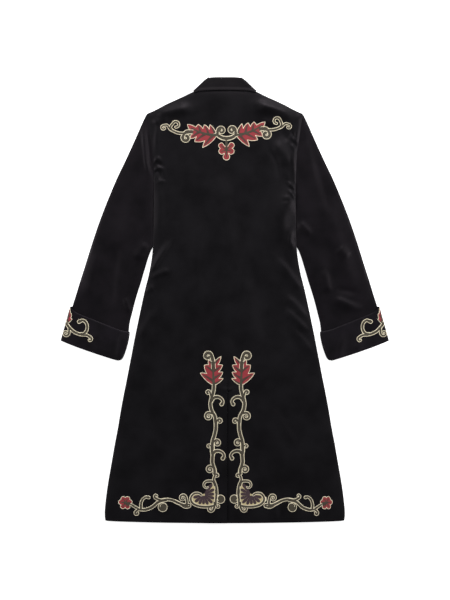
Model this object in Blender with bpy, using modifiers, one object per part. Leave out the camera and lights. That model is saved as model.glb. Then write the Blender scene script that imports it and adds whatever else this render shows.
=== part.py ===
import math

import bpy
import numpy as np

# A long velvet coat laid face down: its back is up (+Z), its collar at +Y and its front on the floor.
# Plan sizes are in millimetres from the middle of the coat; "right" is the +X side, the wearer's right.
MILLIMETRE = 0.001

WALL = 1.8                 # cloth with its pile
HALF_WALL = WALL / 2
HALF_GAP = 0.15            # half the space left at a sewn edge
LAYER = 1.5                # from the middle of a flattened tube to its first layer
OUTER_LAYER = 3 * LAYER    # the same to a layer lying over the first one
SEAM_LIFT = 0.4            # straight part of the cloth between its bend and a side seam
SEAM_ROLL = LAYER - SEAM_LIFT
ROLLED_INSET = SEAM_ROLL + HALF_WALL
FOLD_INSET = LAYER + HALF_WALL
TURNED_INSET = OUTER_LAYER + HALF_WALL
LOW_MIDDLE = LAYER + HALF_WALL          # height of the tube's middle where the coat is two layers
HIGH_MIDDLE = OUTER_LAYER + HALF_WALL   # the same where it is four layers, at the neck and cuffs

HEM_MIDDLE = -591.0
HEM_CORNER = -584.0
NECK_SEAM = 561.0
FRONT_OPENING = 0.6        # half the space between the two front edges
VENT_TOP = -235.0
VENT_UNDERLAP = 35.0
VENT_RISE = 2.3            # the upper vent edge lies this much higher, over the lower one
VENT_RISE_COLUMNS = (0.76, 0.85)   # it rises between these parts of the way across the panel
VENT_RISE_LENGTH = 40.0    # and over this length above the top of the vent
VENT_CORNER = 12.0         # the underlap starts this far below the top of the vent
CENTRE_SEAM_TOP = 3.0      # the centre-back seam's distance right of the middle, at its upper part
CENTRE_SEAM_LEAN = 3.5     # and how much farther right it is at the vent
CENTRE_SEAM_TURN = 420.0   # height where it starts to lean

# Side of the body from the hem to the underarm: half width at a height.
SIDE_TABLE = (
    # height, half_width
    (-584.0, 316.8), (-572.0, 318.5), (-551.0, 318.0), (-508.0, 313.2), (-466.0, 306.6),
    (-424.0, 299.2), (-381.0, 291.8), (-339.0, 283.8), (-296.0, 276.7), (-254.0, 269.0),
    (-212.0, 260.5), (-164.0, 251.2), (-143.0, 247.0), (-100.0, 238.8), (-58.0, 230.3),
    (-16.0, 221.5), (6.0, 216.8), (27.0, 212.0), (48.0, 206.4), (69.0, 201.4), (91.0, 197.2),
    (112.0, 193.5), (133.0, 191.0), (146.0, 189.3), (200.0, 188.9), (260.0, 188.4), (312.0, 188.0),
)
# The armhole seam from the underarm to the outside of the shoulder.
ARMHOLE = (
    (188.3, 331.0), (189.2, 351.0), (190.0, 371.0), (192.0, 398.0), (196.5, 424.0),
    (200.3, 451.0), (202.8, 470.0), (204.6, 481.0), (210.1, 488.0),
)
SEWN_ROWS = 8              # armhole rows from the underarm to the bend below the shoulder
UNDERARM_EASE = 0.3        # more room on each side of the armhole's lowest row
# The shoulder fold from the armhole to the foot of the collar.
SHOULDER = (
    (210.1, 488.0), (205.4, 494.6), (191.1, 500.7), (176.8, 507.8), (160.3, 517.0),
    (143.4, 525.0), (125.3, 533.0), (106.3, 541.5), (88.0, 550.6), (81.6, 552.4), (74.2, 559.8),
)
# Points of the back neck between the shoulder and the middle; the front neck follows the collar.
BACK_NECK = (64.0, 46.0, 30.0, 14.0)
FRONT_NECK_MIDDLE = 461.0

# Outside edge of the right sleeve from the cuff to the shoulder, then its inside edge to the underarm.
SLEEVE_OUTSIDE = (
    (428.6, -99.8), (420.0, -72.0), (410.5, -40.0), (403.5, -15.0), (397.2, 5.7), (384.3, 48.0),
    (370.7, 90.5), (357.5, 133.0), (350.9, 154.0), (336.6, 196.5), (320.9, 239.0), (304.0, 281.0),
    (285.7, 324.0), (265.5, 366.0), (245.9, 408.5), (227.1, 451.0), (217.8, 472.0), (210.1, 488.0),
)
SLEEVE_INSIDE = (
    (273.6, -152.5), (267.6, -139.0), (261.5, -121.5), (256.2, -100.0), (254.2, -80.0),
    (251.5, -58.0), (246.2, -36.7), (240.9, -15.5), (235.1, 5.7), (228.7, 26.9), (221.8, 48.0),
    (215.7, 69.3), (209.4, 90.5), (203.0, 111.7), (196.6, 132.9), (191.2, 146.5), (190.2, 180.0),
    (190.0, 230.0), (189.6, 275.0), (189.2, 312.0),
)
# Where rows across the sleeve start and end, as parts of its inside and outside edges.
SLEEVE_ROWS = (
    # inside, outside
    (0.0, 0.0), (0.1, 0.09), (0.2, 0.18), (0.29, 0.26), (0.38, 0.35), (0.5, 0.48), (0.62, 0.61),
    (0.72, 0.72), (0.82, 0.82), (0.91, 0.91), (1.0, 1.0),
)
SLEEVE_TURN = (278.5, 340.0)   # point of the outside edge level with the underarm

# The turned-back cuff of the right sleeve.
CUFF_TOP = (
    (409.2, -15.0), (395.0, -32.0), (353.0, -50.0), (310.0, -67.0), (276.0, -80.0), (251.0, -84.0),
)
CUFF_BOTTOM = (
    (435.4, -107.5), (397.0, -123.0), (358.0, -137.0), (322.0, -149.0), (288.0, -159.5), (273.0, -162.0),
)
CUFF_OUTSIDE = ((409.2, -15.0), (418.0, -46.0), (427.0, -77.0), (435.4, -107.5))
CUFF_INSIDE = ((251.0, -84.0), (252.8, -100.0), (257.6, -121.5), (264.6, -142.7), (273.0, -162.0))
CUFF_LIP = 6.0             # the cuff turns in this far to the end of the sleeve
CUFF_LIFT = 30.0           # length of sleeve that climbs onto the lower side of the cuff
CUFF_LIFT_START = 3.0
CUFF_LINE_POINT = (409.0, -15.0)       # the line that joins the ends of the cuff's upper edge
CUFF_LINE_NORMAL = (-0.402, 0.915)
CUFF_TOP_INSIDE_EASE = (TURNED_INSET, 0.6)      # from those ends to the flat part of the upper edge
CUFF_TOP_OUTSIDE_EASE = (-TURNED_INSET, -3.2)

# Stations along the right half of the collar: roll line, sewn edge and free edge in plan.
COLLAR_BACK = (
    # roll, sewn_edge, free_edge
    ((0.0, 588.6), (0.0, 561.0), (0.0, 556.6)),
    ((14.0, 588.6), (22.0, 561.0), (24.0, 556.3)),
    ((28.0, 588.6), (46.0, 561.0), (51.0, 555.2)),
)
COLLAR_CREASE = ((42.6, 586.6), (69.4, 561.2), (80.4, 550.8))
CREASE_OUTWARD = (0.688, 0.726)
COLLAR_FRONT = (
    ((40.4, 565.0), (68.4, 548.2), (76.0, 542.0)),
    ((34.0, 533.0), (59.2, 514.9), (66.0, 509.5)),
    ((20.5, 506.5), (42.1, 485.2), (47.5, 479.0)),
    ((6.0, 490.5), (22.6, 466.0), (27.0, 459.5)),
)
NECK_ZONE = (84.0, 108.0)      # half axes of the oval that lies on the collar's front part
NECK_ZONE_HEIGHT = 560.0
FRONT_SLOPE = 1.6              # the front reaches the floor at this many times the oval's size
BACK_SLOPE = 1.8

# Large soft folds in the cloth that faces up.
FOLD_TABLE = (
    # height, half_width, course
    (2.0, 26.0, ((-13, 305), (6, 199), (16, 130), (59, 14), (64, -39), (83, -111), (88, -190),
                 (120, -243))),
    (1.4, 30.0, ((67, -265), (120, -350), (173, -450))),
    (-0.7, 14.0, ((99, 419), (141, 340), (143, 318), (141, 120))),
    (1.8, 13.0, ((122, 419), (150, 392), (173, 371))),
    (1.8, 11.0, ((178, 252), (183, 146))),
    (1.8, 13.0, ((133, 114), (170, 75), (200, 34))),
    (1.5, 12.0, ((165, 11), (205, -38))),
    (1.4, 12.0, ((-143, 151), (-180, 95))),
    (1.4, 11.0, ((-145, 77), (-188, 62))),
    (1.3, 12.0, ((-178, 350), (-150, 350))),
    (1.2, 26.0, ((-60, 240), (-75, 100), (-70, -60))),
    (1.2, 30.0, ((-150, -150), (-190, -330), (-215, -500))),
    (1.2, 30.0, ((40, -420), (60, -560))),
    (1.6, 16.0, ((290, -3), (345, -4), (385, -16))),
    (1.3, 18.0, ((266, 67), (276, 19))),
    (1.2, 22.0, ((300, 190), (330, 80))),
    (1.4, 24.0, ((-240, 250), (-300, 90), (-340, -20))),
    (1.3, 14.0, ((-216, 150), (-222, 118))),
    (-0.6, 18.0, ((-280, 138), (-304, -40))),
)
FOLD_FLOOR = -0.7
FOLD_CEILING = 2.5
FOLD_EDGE_SHARE = 0.6      # folds fade out between this share of the layer's height and the whole of it

BACK_COLUMNS = (0.0, 0.04, 0.1, 0.19, 0.3, 0.42, 0.534, 0.56, 0.6, 0.68, 0.76, 0.85, 0.92, 1.0)
FRONT_COLUMNS = (0.0, 0.04, 0.16, 0.34, 0.534, 0.56, 0.6, 0.68, 0.77, 0.86, 0.94, 1.0)
SHOULDER_SHARE = 0.6       # part of the top edge that is shoulder, the rest is neck
BODY_HEIGHTS = (
    -584.0, -558.0, -508.0, -445.0, -381.0, -318.0, -262.0, -236.0, -200.0, -150.0, -101.0,
    -58.0, -16.0, 26.0, 69.0, 112.0, 146.0, 190.0, 230.0, 270.0, 312.0,
)
SLEEVE_COLUMNS = (0.0, 0.15, 0.35, 0.6, 0.82, 1.0)
CUFF_ROWS = (0.0, 0.25, 0.5, 0.75, 1.0)

VELVET_COLOURS = {
    # piece: red, green, blue
    "back": (0.0078, 0.0078, 0.0091),
    "front": (0.0082, 0.0080, 0.0090),
    "sleeve": (0.0086, 0.0086, 0.0100),
    "cuff": (0.0096, 0.0094, 0.0104),
    "collar": (0.0091, 0.0091, 0.0104),
}
VELVET_ROUGHNESS = 0.85
VELVET_SHEEN = 0.6


def clear_scene():
    for item in list(bpy.data.objects):
        bpy.data.objects.remove(item, do_unlink=True)


def smooth_step(low, high, value):
    part = np.clip((np.asarray(value, dtype=float) - low) / (high - low), 0.0, 1.0)
    return part * part * (3.0 - 2.0 * part)


def lengths_along(points):
    steps = np.hypot(*np.diff(points, axis=0).T)
    return np.concatenate([[0.0], np.cumsum(steps)])


def sample(points, parts):
    points = np.asarray(points, dtype=float)
    reach = lengths_along(points)
    wanted = np.asarray(parts, dtype=float) * reach[-1]
    return np.column_stack([np.interp(wanted, reach, points[:, 0]), np.interp(wanted, reach, points[:, 1])])


def outward_normals(points, outside):
    # Unit normals of a run of points, on the side that `outside` (+1 left of travel, -1 right) says.
    forward = np.gradient(points, axis=0)
    forward /= np.hypot(forward[:, 0], forward[:, 1])[:, None]
    return outside * np.column_stack([-forward[:, 1], forward[:, 0]])


def corner_shift(first_normal, first_amount, second_normal, second_amount):
    # The one shift that moves a corner by an amount along each of its two edge normals.
    matrix = np.array([first_normal, second_normal])
    return np.linalg.solve(matrix, np.array([first_amount, second_amount]))


def edge_shift(side_normal, out, full_out, end_normal, up, full_up):
    # Shift of a point past the side by `out` and past the end by `up`, even over a slanted corner.
    side_part, end_part = out / full_out, up / full_up
    corner = corner_shift(side_normal, full_out, end_normal, full_up)
    shift = side_part * end_part * corner
    shift = shift + side_part * (1 - end_part) * side_normal * full_out
    return shift + (1 - side_part) * end_part * end_normal * full_up


def blend_patch(left, right, low, high, across, along):
    across = np.asarray(across)[None, :, None]
    along = np.asarray(along)[:, None, None]
    sides = (1 - across) * left[:, None, :] + across * right[:, None, :]
    ends = (1 - along) * low[None, :, :] + along * high[None, :, :]
    corners = (1 - across) * (1 - along) * left[0] + across * (1 - along) * right[0]
    corners = corners + (1 - across) * along * left[-1] + across * along * right[-1]
    return sides + ends - corners


def inset_edge(points, normals, amounts):
    return points - normals * np.asarray(amounts)[:, None]


def seam_edge_steps(layer):
    # Steps from the flat cloth round to a side seam: how far out, and the height over the middle.
    roll = layer - SEAM_LIFT
    steps = [(roll * math.cos(math.radians(turn)), SEAM_LIFT + roll * math.sin(math.radians(turn)))
             for turn in (60, 30, 0)]
    steps.append((roll, HALF_GAP))
    return steps


def edge_profile(kind):
    # The same steps for one layer of the body or sleeve, with each height as a share of the layer's.
    if kind == "rolled":
        steps = seam_edge_steps(LAYER)
    elif kind == "half":
        turns = [math.radians(turn) for turn in (75, 60, 48, 38)]
        steps = [(SEAM_ROLL * math.cos(turn), SEAM_LIFT + SEAM_ROLL * math.sin(turn)) for turn in turns]
    else:
        steps = [((ROLLED_INSET - HALF_GAP) * part, LAYER) for part in (0.25, 0.5, 0.75, 1.0)]
    return [(out, height / LAYER) for out, height in steps]


def neck_lift(x, y, slope):
    # The body climbs onto the front part of the collar; `slope` is where it reaches the floor again.
    oval = np.sqrt((x / NECK_ZONE[0]) ** 2 + ((y - NECK_ZONE_HEIGHT) / NECK_ZONE[1]) ** 2)
    return 1.0 - smooth_step(1.0, slope, oval)


def cuff_lift(x, y):
    # How far up the sleeve from the line that joins the ends of the cuff's upper edge.
    above = CUFF_LINE_NORMAL[0] * (np.abs(x) - CUFF_LINE_POINT[0])
    above = above + CUFF_LINE_NORMAL[1] * (y - CUFF_LINE_POINT[1])
    return 1.0 - smooth_step(CUFF_LIFT_START, CUFF_LIFT_START + CUFF_LIFT, above)


def middle_height(lift):
    return LOW_MIDDLE + (HIGH_MIDDLE - LOW_MIDDLE) * lift


def distance_to_course(x, y, course):
    nearest = np.full(np.shape(x), 1e9)
    for (x0, y0), (x1, y1) in zip(course[:-1], course[1:]):
        run_x, run_y = x1 - x0, y1 - y0
        part = np.clip(((x - x0) * run_x + (y - y0) * run_y) / (run_x ** 2 + run_y ** 2), 0.0, 1.0)
        nearest = np.minimum(nearest, np.hypot(x - x0 - part * run_x, y - y0 - part * run_y))
    return nearest


def fold_height(x, y):
    total = np.zeros(np.shape(x))
    for height, half_width, course in FOLD_TABLE:
        total += height * np.exp(-(distance_to_course(x, y, course) / half_width) ** 2)
    return np.clip(total, FOLD_FLOOR, FOLD_CEILING)


def side_points(heights):
    table = np.array(SIDE_TABLE)
    return np.column_stack([np.interp(heights, table[:, 0], table[:, 1]), heights])


def centre_seam(y):
    # The centre-back seam leans a little to the right on its way down to the vent.
    return CENTRE_SEAM_TOP + CENTRE_SEAM_LEAN * (1.0 - smooth_step(VENT_TOP, CENTRE_SEAM_TURN, y))


def armhole_rows(side):
    # The armhole seam; its lowest row keeps more room, on the body (-1) or on the sleeve (+1).
    rows = np.array(ARMHOLE)
    rows[0, 0] += UNDERARM_EASE * side
    return rows


def body_outline():
    side = np.vstack([side_points(np.array(BODY_HEIGHTS)), armhole_rows(-1.0)])
    steps = lengths_along(side)
    kinds = ["rolled"] * (len(BODY_HEIGHTS) - 1) + ["half"] + ["flat"] * len(ARMHOLE)
    return side, steps / steps[-1], kinds


def top_outline(columns, neck, middle):
    shoulder_columns = [share for share in columns if share <= SHOULDER_SHARE + 1e-9]
    shoulder = sample(SHOULDER, np.array(shoulder_columns) / SHOULDER_SHARE)
    kinds = ["rolled"] * (len(shoulder_columns) - 1) + ["half"] + ["flat"] * (len(neck) + 1)
    return np.vstack([shoulder, neck, [middle]]), kinds


def body_grid(columns, neck, middle_line):
    # Plan points and layer shares of one body panel, as a right-hand one.
    columns = np.asarray(columns)
    side, along, side_kinds = body_outline()
    middle = middle_line(along)
    top, top_kinds = top_outline(columns, neck, middle[-1])
    low = hem_line(columns, side[0], middle[0])
    side_normals = outward_normals(side, -1.0)
    top_normals = outward_normals(top, -1.0)
    top_normals[-1] = (0.0, 1.0)
    foot = top_kinds.index("half")
    shoulder_normal = outward_normals(top[foot - 1:foot + 1], -1.0)[0]
    neck_normal = outward_normals(top[foot:foot + 2], -1.0)[0]
    top_normals[foot] = (shoulder_normal + neck_normal) / np.hypot(*(shoulder_normal + neck_normal))
    side_base = inset_edge(side, side_normals, np.full(len(side), ROLLED_INSET))
    top_base = inset_edge(top, top_normals, np.full(len(top), ROLLED_INSET))
    corner = side[-1] + corner_shift(side_normals[-1], -ROLLED_INSET, top_normals[0], -ROLLED_INSET)
    top_base[foot] = top[foot] + corner_shift(shoulder_normal, -ROLLED_INSET, neck_normal, -ROLLED_INSET)
    side_base[0] = side[0] - np.array([ROLLED_INSET, 0.0])
    side_base[-1] = top_base[0] = corner
    middle_base = middle.copy()
    middle_base[-1] = top_base[-1]
    low[0] = side_base[0]
    low[-1] = middle_base[0]
    base = blend_patch(side_base, middle_base, low, top_base, columns, along)
    return grow_edges(base, side_normals, side_kinds, top_normals, top_kinds)


def grow_edges(base, side_normals, side_kinds, top_normals, top_kinds):
    # Adds the rolled or flat edge steps: new columns outside the side, new rows above the top.
    rows, columns = base.shape[:2]
    extra = len(edge_profile("flat"))
    plan = np.zeros((rows + extra, columns + extra, 2))
    share = np.ones((rows + extra, columns + extra))
    for row in range(rows + extra):
        base_row = min(row, rows - 1)
        step_up = row - base_row
        for column in range(columns + extra):
            base_column = max(column - extra, 0)
            step_out = extra - column if column < extra else 0
            out, out_share = edge_profile(side_kinds[base_row])[step_out - 1] if step_out else (0.0, 1.0)
            up, up_share = edge_profile(top_kinds[base_column])[step_up - 1] if step_up else (0.0, 1.0)
            full_out = edge_profile(side_kinds[base_row])[-1][0]
            full_up = edge_profile(top_kinds[base_column])[-1][0]
            plan[row, column] = base[base_row, base_column] + edge_shift(
                side_normals[base_row], out, full_out, top_normals[base_column], up, full_up)
            share[row, column] = out_share * up_share
    return plan, share


def back_middle(side):
    # Line of the centre-back seam and vent as a right-hand panel sees it; `side` is +1 right, -1 left.
    def line(along):
        heights = HEM_MIDDLE + (NECK_SEAM - HALF_GAP - HEM_MIDDLE) * along
        seam = centre_seam(heights) * side + HALF_GAP
        if side > 0:
            seam = np.where(heights < VENT_TOP - VENT_CORNER, seam - VENT_UNDERLAP, seam)
        return np.column_stack([seam, heights])
    return line


def front_middle(along):
    heights = HEM_MIDDLE + (FRONT_NECK_MIDDLE - HEM_MIDDLE) * along
    return np.column_stack([np.full(len(heights), FRONT_OPENING), heights])


def hem_line(columns, corner, middle):
    # The hem sinks in an even curve from its corner to the middle.
    width = (1 - columns) * corner[0] + columns * middle[0]
    height = HEM_CORNER + (HEM_MIDDLE - HEM_CORNER) * np.sin(columns * math.pi / 2)
    return np.column_stack([width, height])


def edge_fade(share):
    return np.clip((share - FOLD_EDGE_SHARE) / (1.0 - FOLD_EDGE_SHARE), 0.0, 1.0)


def back_panel(side):
    neck = np.array([(x, NECK_SEAM - HALF_GAP) for x in BACK_NECK])
    plan, share = body_grid(BACK_COLUMNS, neck, back_middle(side))
    x, y = plan[..., 0] * side, plan[..., 1]
    height = middle_height(neck_lift(x, y, BACK_SLOPE)) + LAYER * share
    height += fold_height(x, y) * edge_fade(share)
    if side < 0:
        height += vent_rise(share.shape, y)
    return np.dstack([x, y, height])


def vent_rise(shape, y):
    # The left back lies over the underlap of the right back, below the top of the vent.
    extra = shape[1] - len(BACK_COLUMNS)
    across = np.concatenate([np.zeros(extra), BACK_COLUMNS])
    rise = smooth_step(*VENT_RISE_COLUMNS, across)[None, :]
    return VENT_RISE * rise * (1.0 - smooth_step(VENT_TOP, VENT_TOP + VENT_RISE_LENGTH, y))


def front_neck():
    # Just below the edge of the collar that is sewn to it.
    points = []
    for roll, sewn, _ in COLLAR_FRONT:
        away = np.subtract(sewn, roll)
        points.append(np.array(sewn) + away / np.hypot(*away) * HALF_GAP)
    return np.array(points)


def front_panel(side):
    plan, share = body_grid(FRONT_COLUMNS, front_neck(), front_middle)
    x, y = plan[..., 0] * side, plan[..., 1]
    return np.dstack([x, y, middle_height(neck_lift(x, y, FRONT_SLOPE)) - LAYER * share])


def sleeve_edges():
    parts = np.array(SLEEVE_ROWS)
    outside_all = np.array(SLEEVE_OUTSIDE)
    turn = int(np.argmin(np.hypot(*(outside_all - SLEEVE_TURN).T)))
    armhole = armhole_rows(1.0)[:SEWN_ROWS]
    reach = lengths_along(np.vstack([SLEEVE_INSIDE[-1], armhole]))[1:]
    inside = np.vstack([sample(SLEEVE_INSIDE, parts[:, 0]), armhole])
    outside = np.vstack([sample(outside_all[:turn + 1], parts[:, 1]),
                         sample(outside_all[turn:], reach / reach[-1])])
    kinds = ["rolled"] * (len(parts) - 1) + ["half"] + ["flat"] * len(armhole)
    return inside, outside, kinds


def sleeve_wrist():
    # The sleeve ends where the turned-in lip of the cuff does.
    base, inside_normals, outside_normals, bottom_normals = cuff_base()
    bottom = base[-1]
    back = -(CUFF_LIP + HALF_GAP * 2)
    points = bottom + bottom_normals * back
    points[0] = bottom[0] + corner_shift(inside_normals[-1], 0.0, bottom_normals[0], back)
    points[-1] = bottom[-1] + corner_shift(outside_normals[-1], 0.0, bottom_normals[-1], back)
    return points


def sleeve_base():
    inside, outside, kinds = sleeve_edges()
    inside_normals = outward_normals(inside, 1.0)
    outside_normals = outward_normals(outside, -1.0)
    shoulder_run = np.subtract(ARMHOLE[-1], ARMHOLE[-2])
    top_normal = np.array([-shoulder_run[1], shoulder_run[0]]) / np.hypot(*shoulder_run)
    inside_normals[-1] = inside_normals[-2]
    outside_normals[-1] = outside_normals[-2]
    inside_base = inset_edge(inside, inside_normals, np.full(len(inside), ROLLED_INSET))
    outside_base = inset_edge(outside, outside_normals, np.full(len(outside), FOLD_INSET))
    inside_base[-1] = inside[-1] + corner_shift(
        inside_normals[-1], -ROLLED_INSET, top_normal, -ROLLED_INSET)
    outside_base[-1] = outside[-1] + corner_shift(
        outside_normals[-1], -FOLD_INSET, top_normal, -ROLLED_INSET)
    low = sleeve_wrist()
    inside_base[0], outside_base[0] = low[0], low[-1]
    columns = np.array(SLEEVE_COLUMNS)
    high = (1 - columns[:, None]) * inside_base[-1] + columns[:, None] * outside_base[-1]
    steps = lengths_along(inside)
    base = blend_patch(inside_base, outside_base, low, high, columns, steps / steps[-1])
    return base, inside_normals, outside_normals, kinds, top_normal


def sleeve_half(top_side):
    # One layer of the sleeve, from its underarm seam to the middle of the outer fold.
    base, inside_normals, outside_normals, kinds, top_normal = sleeve_base()
    rows, columns = base.shape[:2]
    extra = len(edge_profile("flat"))
    turns = (60, 30, 0)
    plan = np.zeros((rows + 1, extra + columns + len(turns), 2))
    share = np.ones(plan.shape[:2])
    for row in range(rows + 1):
        base_row = min(row, rows - 1)
        full_up = ROLLED_INSET - HALF_GAP
        up = full_up if row == rows else 0.0
        for column in range(plan.shape[1]):
            base_column = min(max(column - extra, 0), columns - 1)
            normal, out, full_out = outside_normals[base_row], 0.0, LAYER
            if column < extra:
                steps = edge_profile(kinds[base_row])
                out, share[row, column] = steps[extra - column - 1]
                normal, full_out = inside_normals[base_row], steps[-1][0]
            elif column >= extra + columns:
                turn = math.radians(turns[column - extra - columns])
                out, share[row, column] = LAYER * math.cos(turn), math.sin(turn)
            shift = edge_shift(normal, out, full_out, top_normal, up, full_up)
            plan[row, column] = base[base_row, base_column] + shift
    return plan, share * top_side


def sleeve(side):
    upper_plan, upper_share = sleeve_half(1.0)
    lower_plan, lower_share = sleeve_half(-1.0)
    plan = np.concatenate([lower_plan, upper_plan[:, -2::-1]], axis=1)
    share = np.concatenate([lower_share, upper_share[:, -2::-1]], axis=1)
    x, y = plan[..., 0] * side, plan[..., 1]
    lift = cuff_lift(x, y)
    fade = edge_fade(share) * (1.0 - lift)
    height = middle_height(lift) + LAYER * share + fold_height(x, y) * fade
    return np.dstack([x, y, height])


def cuff_base():
    parts = np.array(CUFF_ROWS)
    outside = sample(CUFF_OUTSIDE, parts)
    inside = sample(CUFF_INSIDE, parts)
    outside_normals = outward_normals(outside, 1.0)
    inside_normals = outward_normals(inside, -1.0)
    bottom = sample(CUFF_BOTTOM[::-1], SLEEVE_COLUMNS)
    bottom_normals = outward_normals(bottom, -1.0)
    top = sample(CUFF_TOP[::-1], SLEEVE_COLUMNS)
    inside_base = inset_edge(inside, inside_normals, np.full(len(inside), TURNED_INSET))
    outside_base = inset_edge(outside, outside_normals, np.full(len(outside), TURNED_INSET))
    bottom_base = inset_edge(bottom, bottom_normals, np.full(len(bottom), FOLD_INSET))
    inside_base[-1] = inside[-1] + corner_shift(
        inside_normals[-1], -TURNED_INSET, bottom_normals[0], -FOLD_INSET)
    outside_base[-1] = outside[-1] + corner_shift(
        outside_normals[-1], -TURNED_INSET, bottom_normals[-1], -FOLD_INSET)
    bottom_base[0], bottom_base[-1] = inside_base[-1], outside_base[-1]
    inside_base[0] = inside[0] + np.array(CUFF_TOP_INSIDE_EASE)
    outside_base[0] = outside[0] + np.array(CUFF_TOP_OUTSIDE_EASE)
    top[0], top[-1] = inside_base[0], outside_base[0]
    base = blend_patch(inside_base, outside_base, top, bottom_base, SLEEVE_COLUMNS, parts)
    return base, inside_normals, outside_normals, bottom_normals


def cuff_rows(base, normals):
    # Rows down the cuff, round its lower fold and back up the lip: points, layer, row, way down.
    inside_normals, outside_normals, bottom_normals = normals
    last = len(base) - 1
    rows = [(base[row], OUTER_LAYER, row, 0.0) for row in range(len(base))]
    middle, reach = (OUTER_LAYER + LAYER) / 2, (OUTER_LAYER - LAYER) / 2
    for turn in (30, 60, 90, 120, 150, 180):
        angle = math.radians(turn)
        rows.append((base[last], middle + reach * math.cos(angle), last, reach * math.sin(angle)))
    lip = base[last] - bottom_normals * CUFF_LIP
    lip[0] = base[last][0] + corner_shift(inside_normals[-1], 0.0, bottom_normals[0], -CUFF_LIP)
    lip[-1] = base[last][-1] + corner_shift(outside_normals[-1], 0.0, bottom_normals[-1], -CUFF_LIP)
    rows.append((lip, LAYER, last, 0.0))
    return rows


def cuff_ring(points, layer, row, down, normals):
    # The closed way round one row: underarm seam, lower side, outer fold, upper side, seam again.
    inside_normals, outside_normals, bottom_normals = normals
    reach = (OUTER_LAYER - LAYER) / 2
    ring = []
    for top_side in (-1.0, 1.0):
        half = []
        seam_steps = seam_edge_steps(layer)
        for out, height in reversed(seam_steps):
            shift = edge_shift(inside_normals[row], out, seam_steps[-1][0], bottom_normals[0], down, reach)
            half.append((points[0] + shift, top_side * height))
        for column, point in enumerate(points):
            half.append((point + bottom_normals[column] * down, top_side * layer))
        for turn in (75, 50, 25, 0):
            angle = math.radians(turn)
            out, height = layer * math.cos(angle), layer * math.sin(angle)
            shift = edge_shift(outside_normals[row], out, layer, bottom_normals[-1], down, reach)
            half.append((points[-1] + shift, top_side * height))
        ring += half if top_side < 0 else half[-2::-1]
    return ring


def cuff(side):
    base, inside_normals, outside_normals, bottom_normals = cuff_base()
    normals = (inside_normals, outside_normals, bottom_normals)
    grid = []
    for points, layer, row, down in cuff_rows(base, normals):
        ring = cuff_ring(points, layer, row, down, normals)
        grid.append([(place[0] * side, place[1], HIGH_MIDDLE + rise) for place, rise in ring])
    return np.array(grid)


def collar_stations():
    # Right half of the collar from the centre back, round the side crease to its front end.
    stations = [(np.array(row), 0.0, (0.0, 0.0)) for row in COLLAR_BACK]
    for turn in (0, 30, 60, 90, 120, 150, 180):
        stations.append((np.array(COLLAR_CREASE), float(turn), CREASE_OUTWARD))
    stations += [(np.array(row), 180.0, (0.0, 0.0)) for row in COLLAR_FRONT]
    return stations


def collar_section(station):
    (roll, sewn, free), turn, outward = station
    angle, outward = math.radians(turn), np.array(outward)
    away = (roll - sewn) / np.hypot(*(roll - sewn))
    middle, reach = (OUTER_LAYER + LAYER) / 2, (OUTER_LAYER - LAYER) / 2
    section = [(sewn, LAYER), ((sewn + roll) / 2, LAYER), (roll, LAYER)]
    for bend in (30, 60, 90, 120, 150, 180):
        part = math.radians(bend)
        section.append((roll + away * reach * math.sin(part), middle - reach * math.cos(part)))
    section += [((roll + free) / 2, OUTER_LAYER), (free, OUTER_LAYER)]
    points = []
    for place, layer in section:
        place = place + outward * layer * math.sin(angle)
        points.append((place[0], place[1], HIGH_MIDDLE + layer * math.cos(angle)))
    return points


def collar():
    right = [collar_section(station) for station in collar_stations()]
    left = [[(-x, y, z) for x, y, z in section] for section in right[:0:-1]]
    return np.array(left + right)


def build_velvet(name):
    red, green, blue = VELVET_COLOURS[name.split("_")[0]]
    material = bpy.data.materials.new(name + "_velvet")
    material.use_nodes = True
    shader = material.node_tree.nodes["Principled BSDF"]
    shader.inputs["Base Color"].default_value = (red, green, blue, 1.0)
    shader.inputs["Roughness"].default_value = VELVET_ROUGHNESS
    shader.inputs["Sheen Weight"].default_value = VELVET_SHEEN
    return material


def build_cloth(name, grid, collection):
    # An open sheet of quads, then the wall's thickness on both sides of it.
    rows, columns = grid.shape[:2]
    points = [tuple(point * MILLIMETRE) for point in grid.reshape(-1, 3)]
    faces = []
    for row in range(rows - 1):
        for column in range(columns - 1):
            first = row * columns + column
            faces.append((first, first + 1, first + columns + 1, first + columns))
    mesh = bpy.data.meshes.new(name)
    mesh.from_pydata(points, [], faces)
    mesh.update()
    item = bpy.data.objects.new(name, mesh)
    mesh.materials.append(build_velvet(name))
    collection.objects.link(item)
    wall = item.modifiers.new("wall", "SOLIDIFY")
    wall.thickness = WALL * MILLIMETRE
    wall.offset = 0.0
    wall.use_rim = True
    return item


def build_coat():
    clear_scene()
    collection = bpy.data.collections.new("coat")
    bpy.context.scene.collection.children.link(collection)
    for word, side in (("left", -1.0), ("right", 1.0)):
        build_cloth("back_" + word, back_panel(side), collection)
        build_cloth("front_" + word, front_panel(side), collection)
        build_cloth("sleeve_" + word, sleeve(side), collection)
        build_cloth("cuff_" + word, cuff(side), collection)
    build_cloth("collar", collar(), collection)


build_coat()
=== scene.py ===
import math

import bpy
import numpy as np
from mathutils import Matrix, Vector
from mathutils.bvhtree import BVHTree
from mathutils.geometry import delaunay_2d_cdt


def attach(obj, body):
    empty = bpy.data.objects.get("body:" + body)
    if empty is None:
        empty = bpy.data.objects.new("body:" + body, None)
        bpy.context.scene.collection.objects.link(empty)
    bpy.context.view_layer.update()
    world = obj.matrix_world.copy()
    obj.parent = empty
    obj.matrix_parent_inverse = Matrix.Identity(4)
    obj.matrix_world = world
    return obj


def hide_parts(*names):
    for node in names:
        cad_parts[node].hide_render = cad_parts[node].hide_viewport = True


# A long black velvet coat with scroll embroidery, laid on its front and seen from straight above.
# Plan sizes are in millimetres in the frame's own axes, and so are heights above the surface it lies on.

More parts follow.
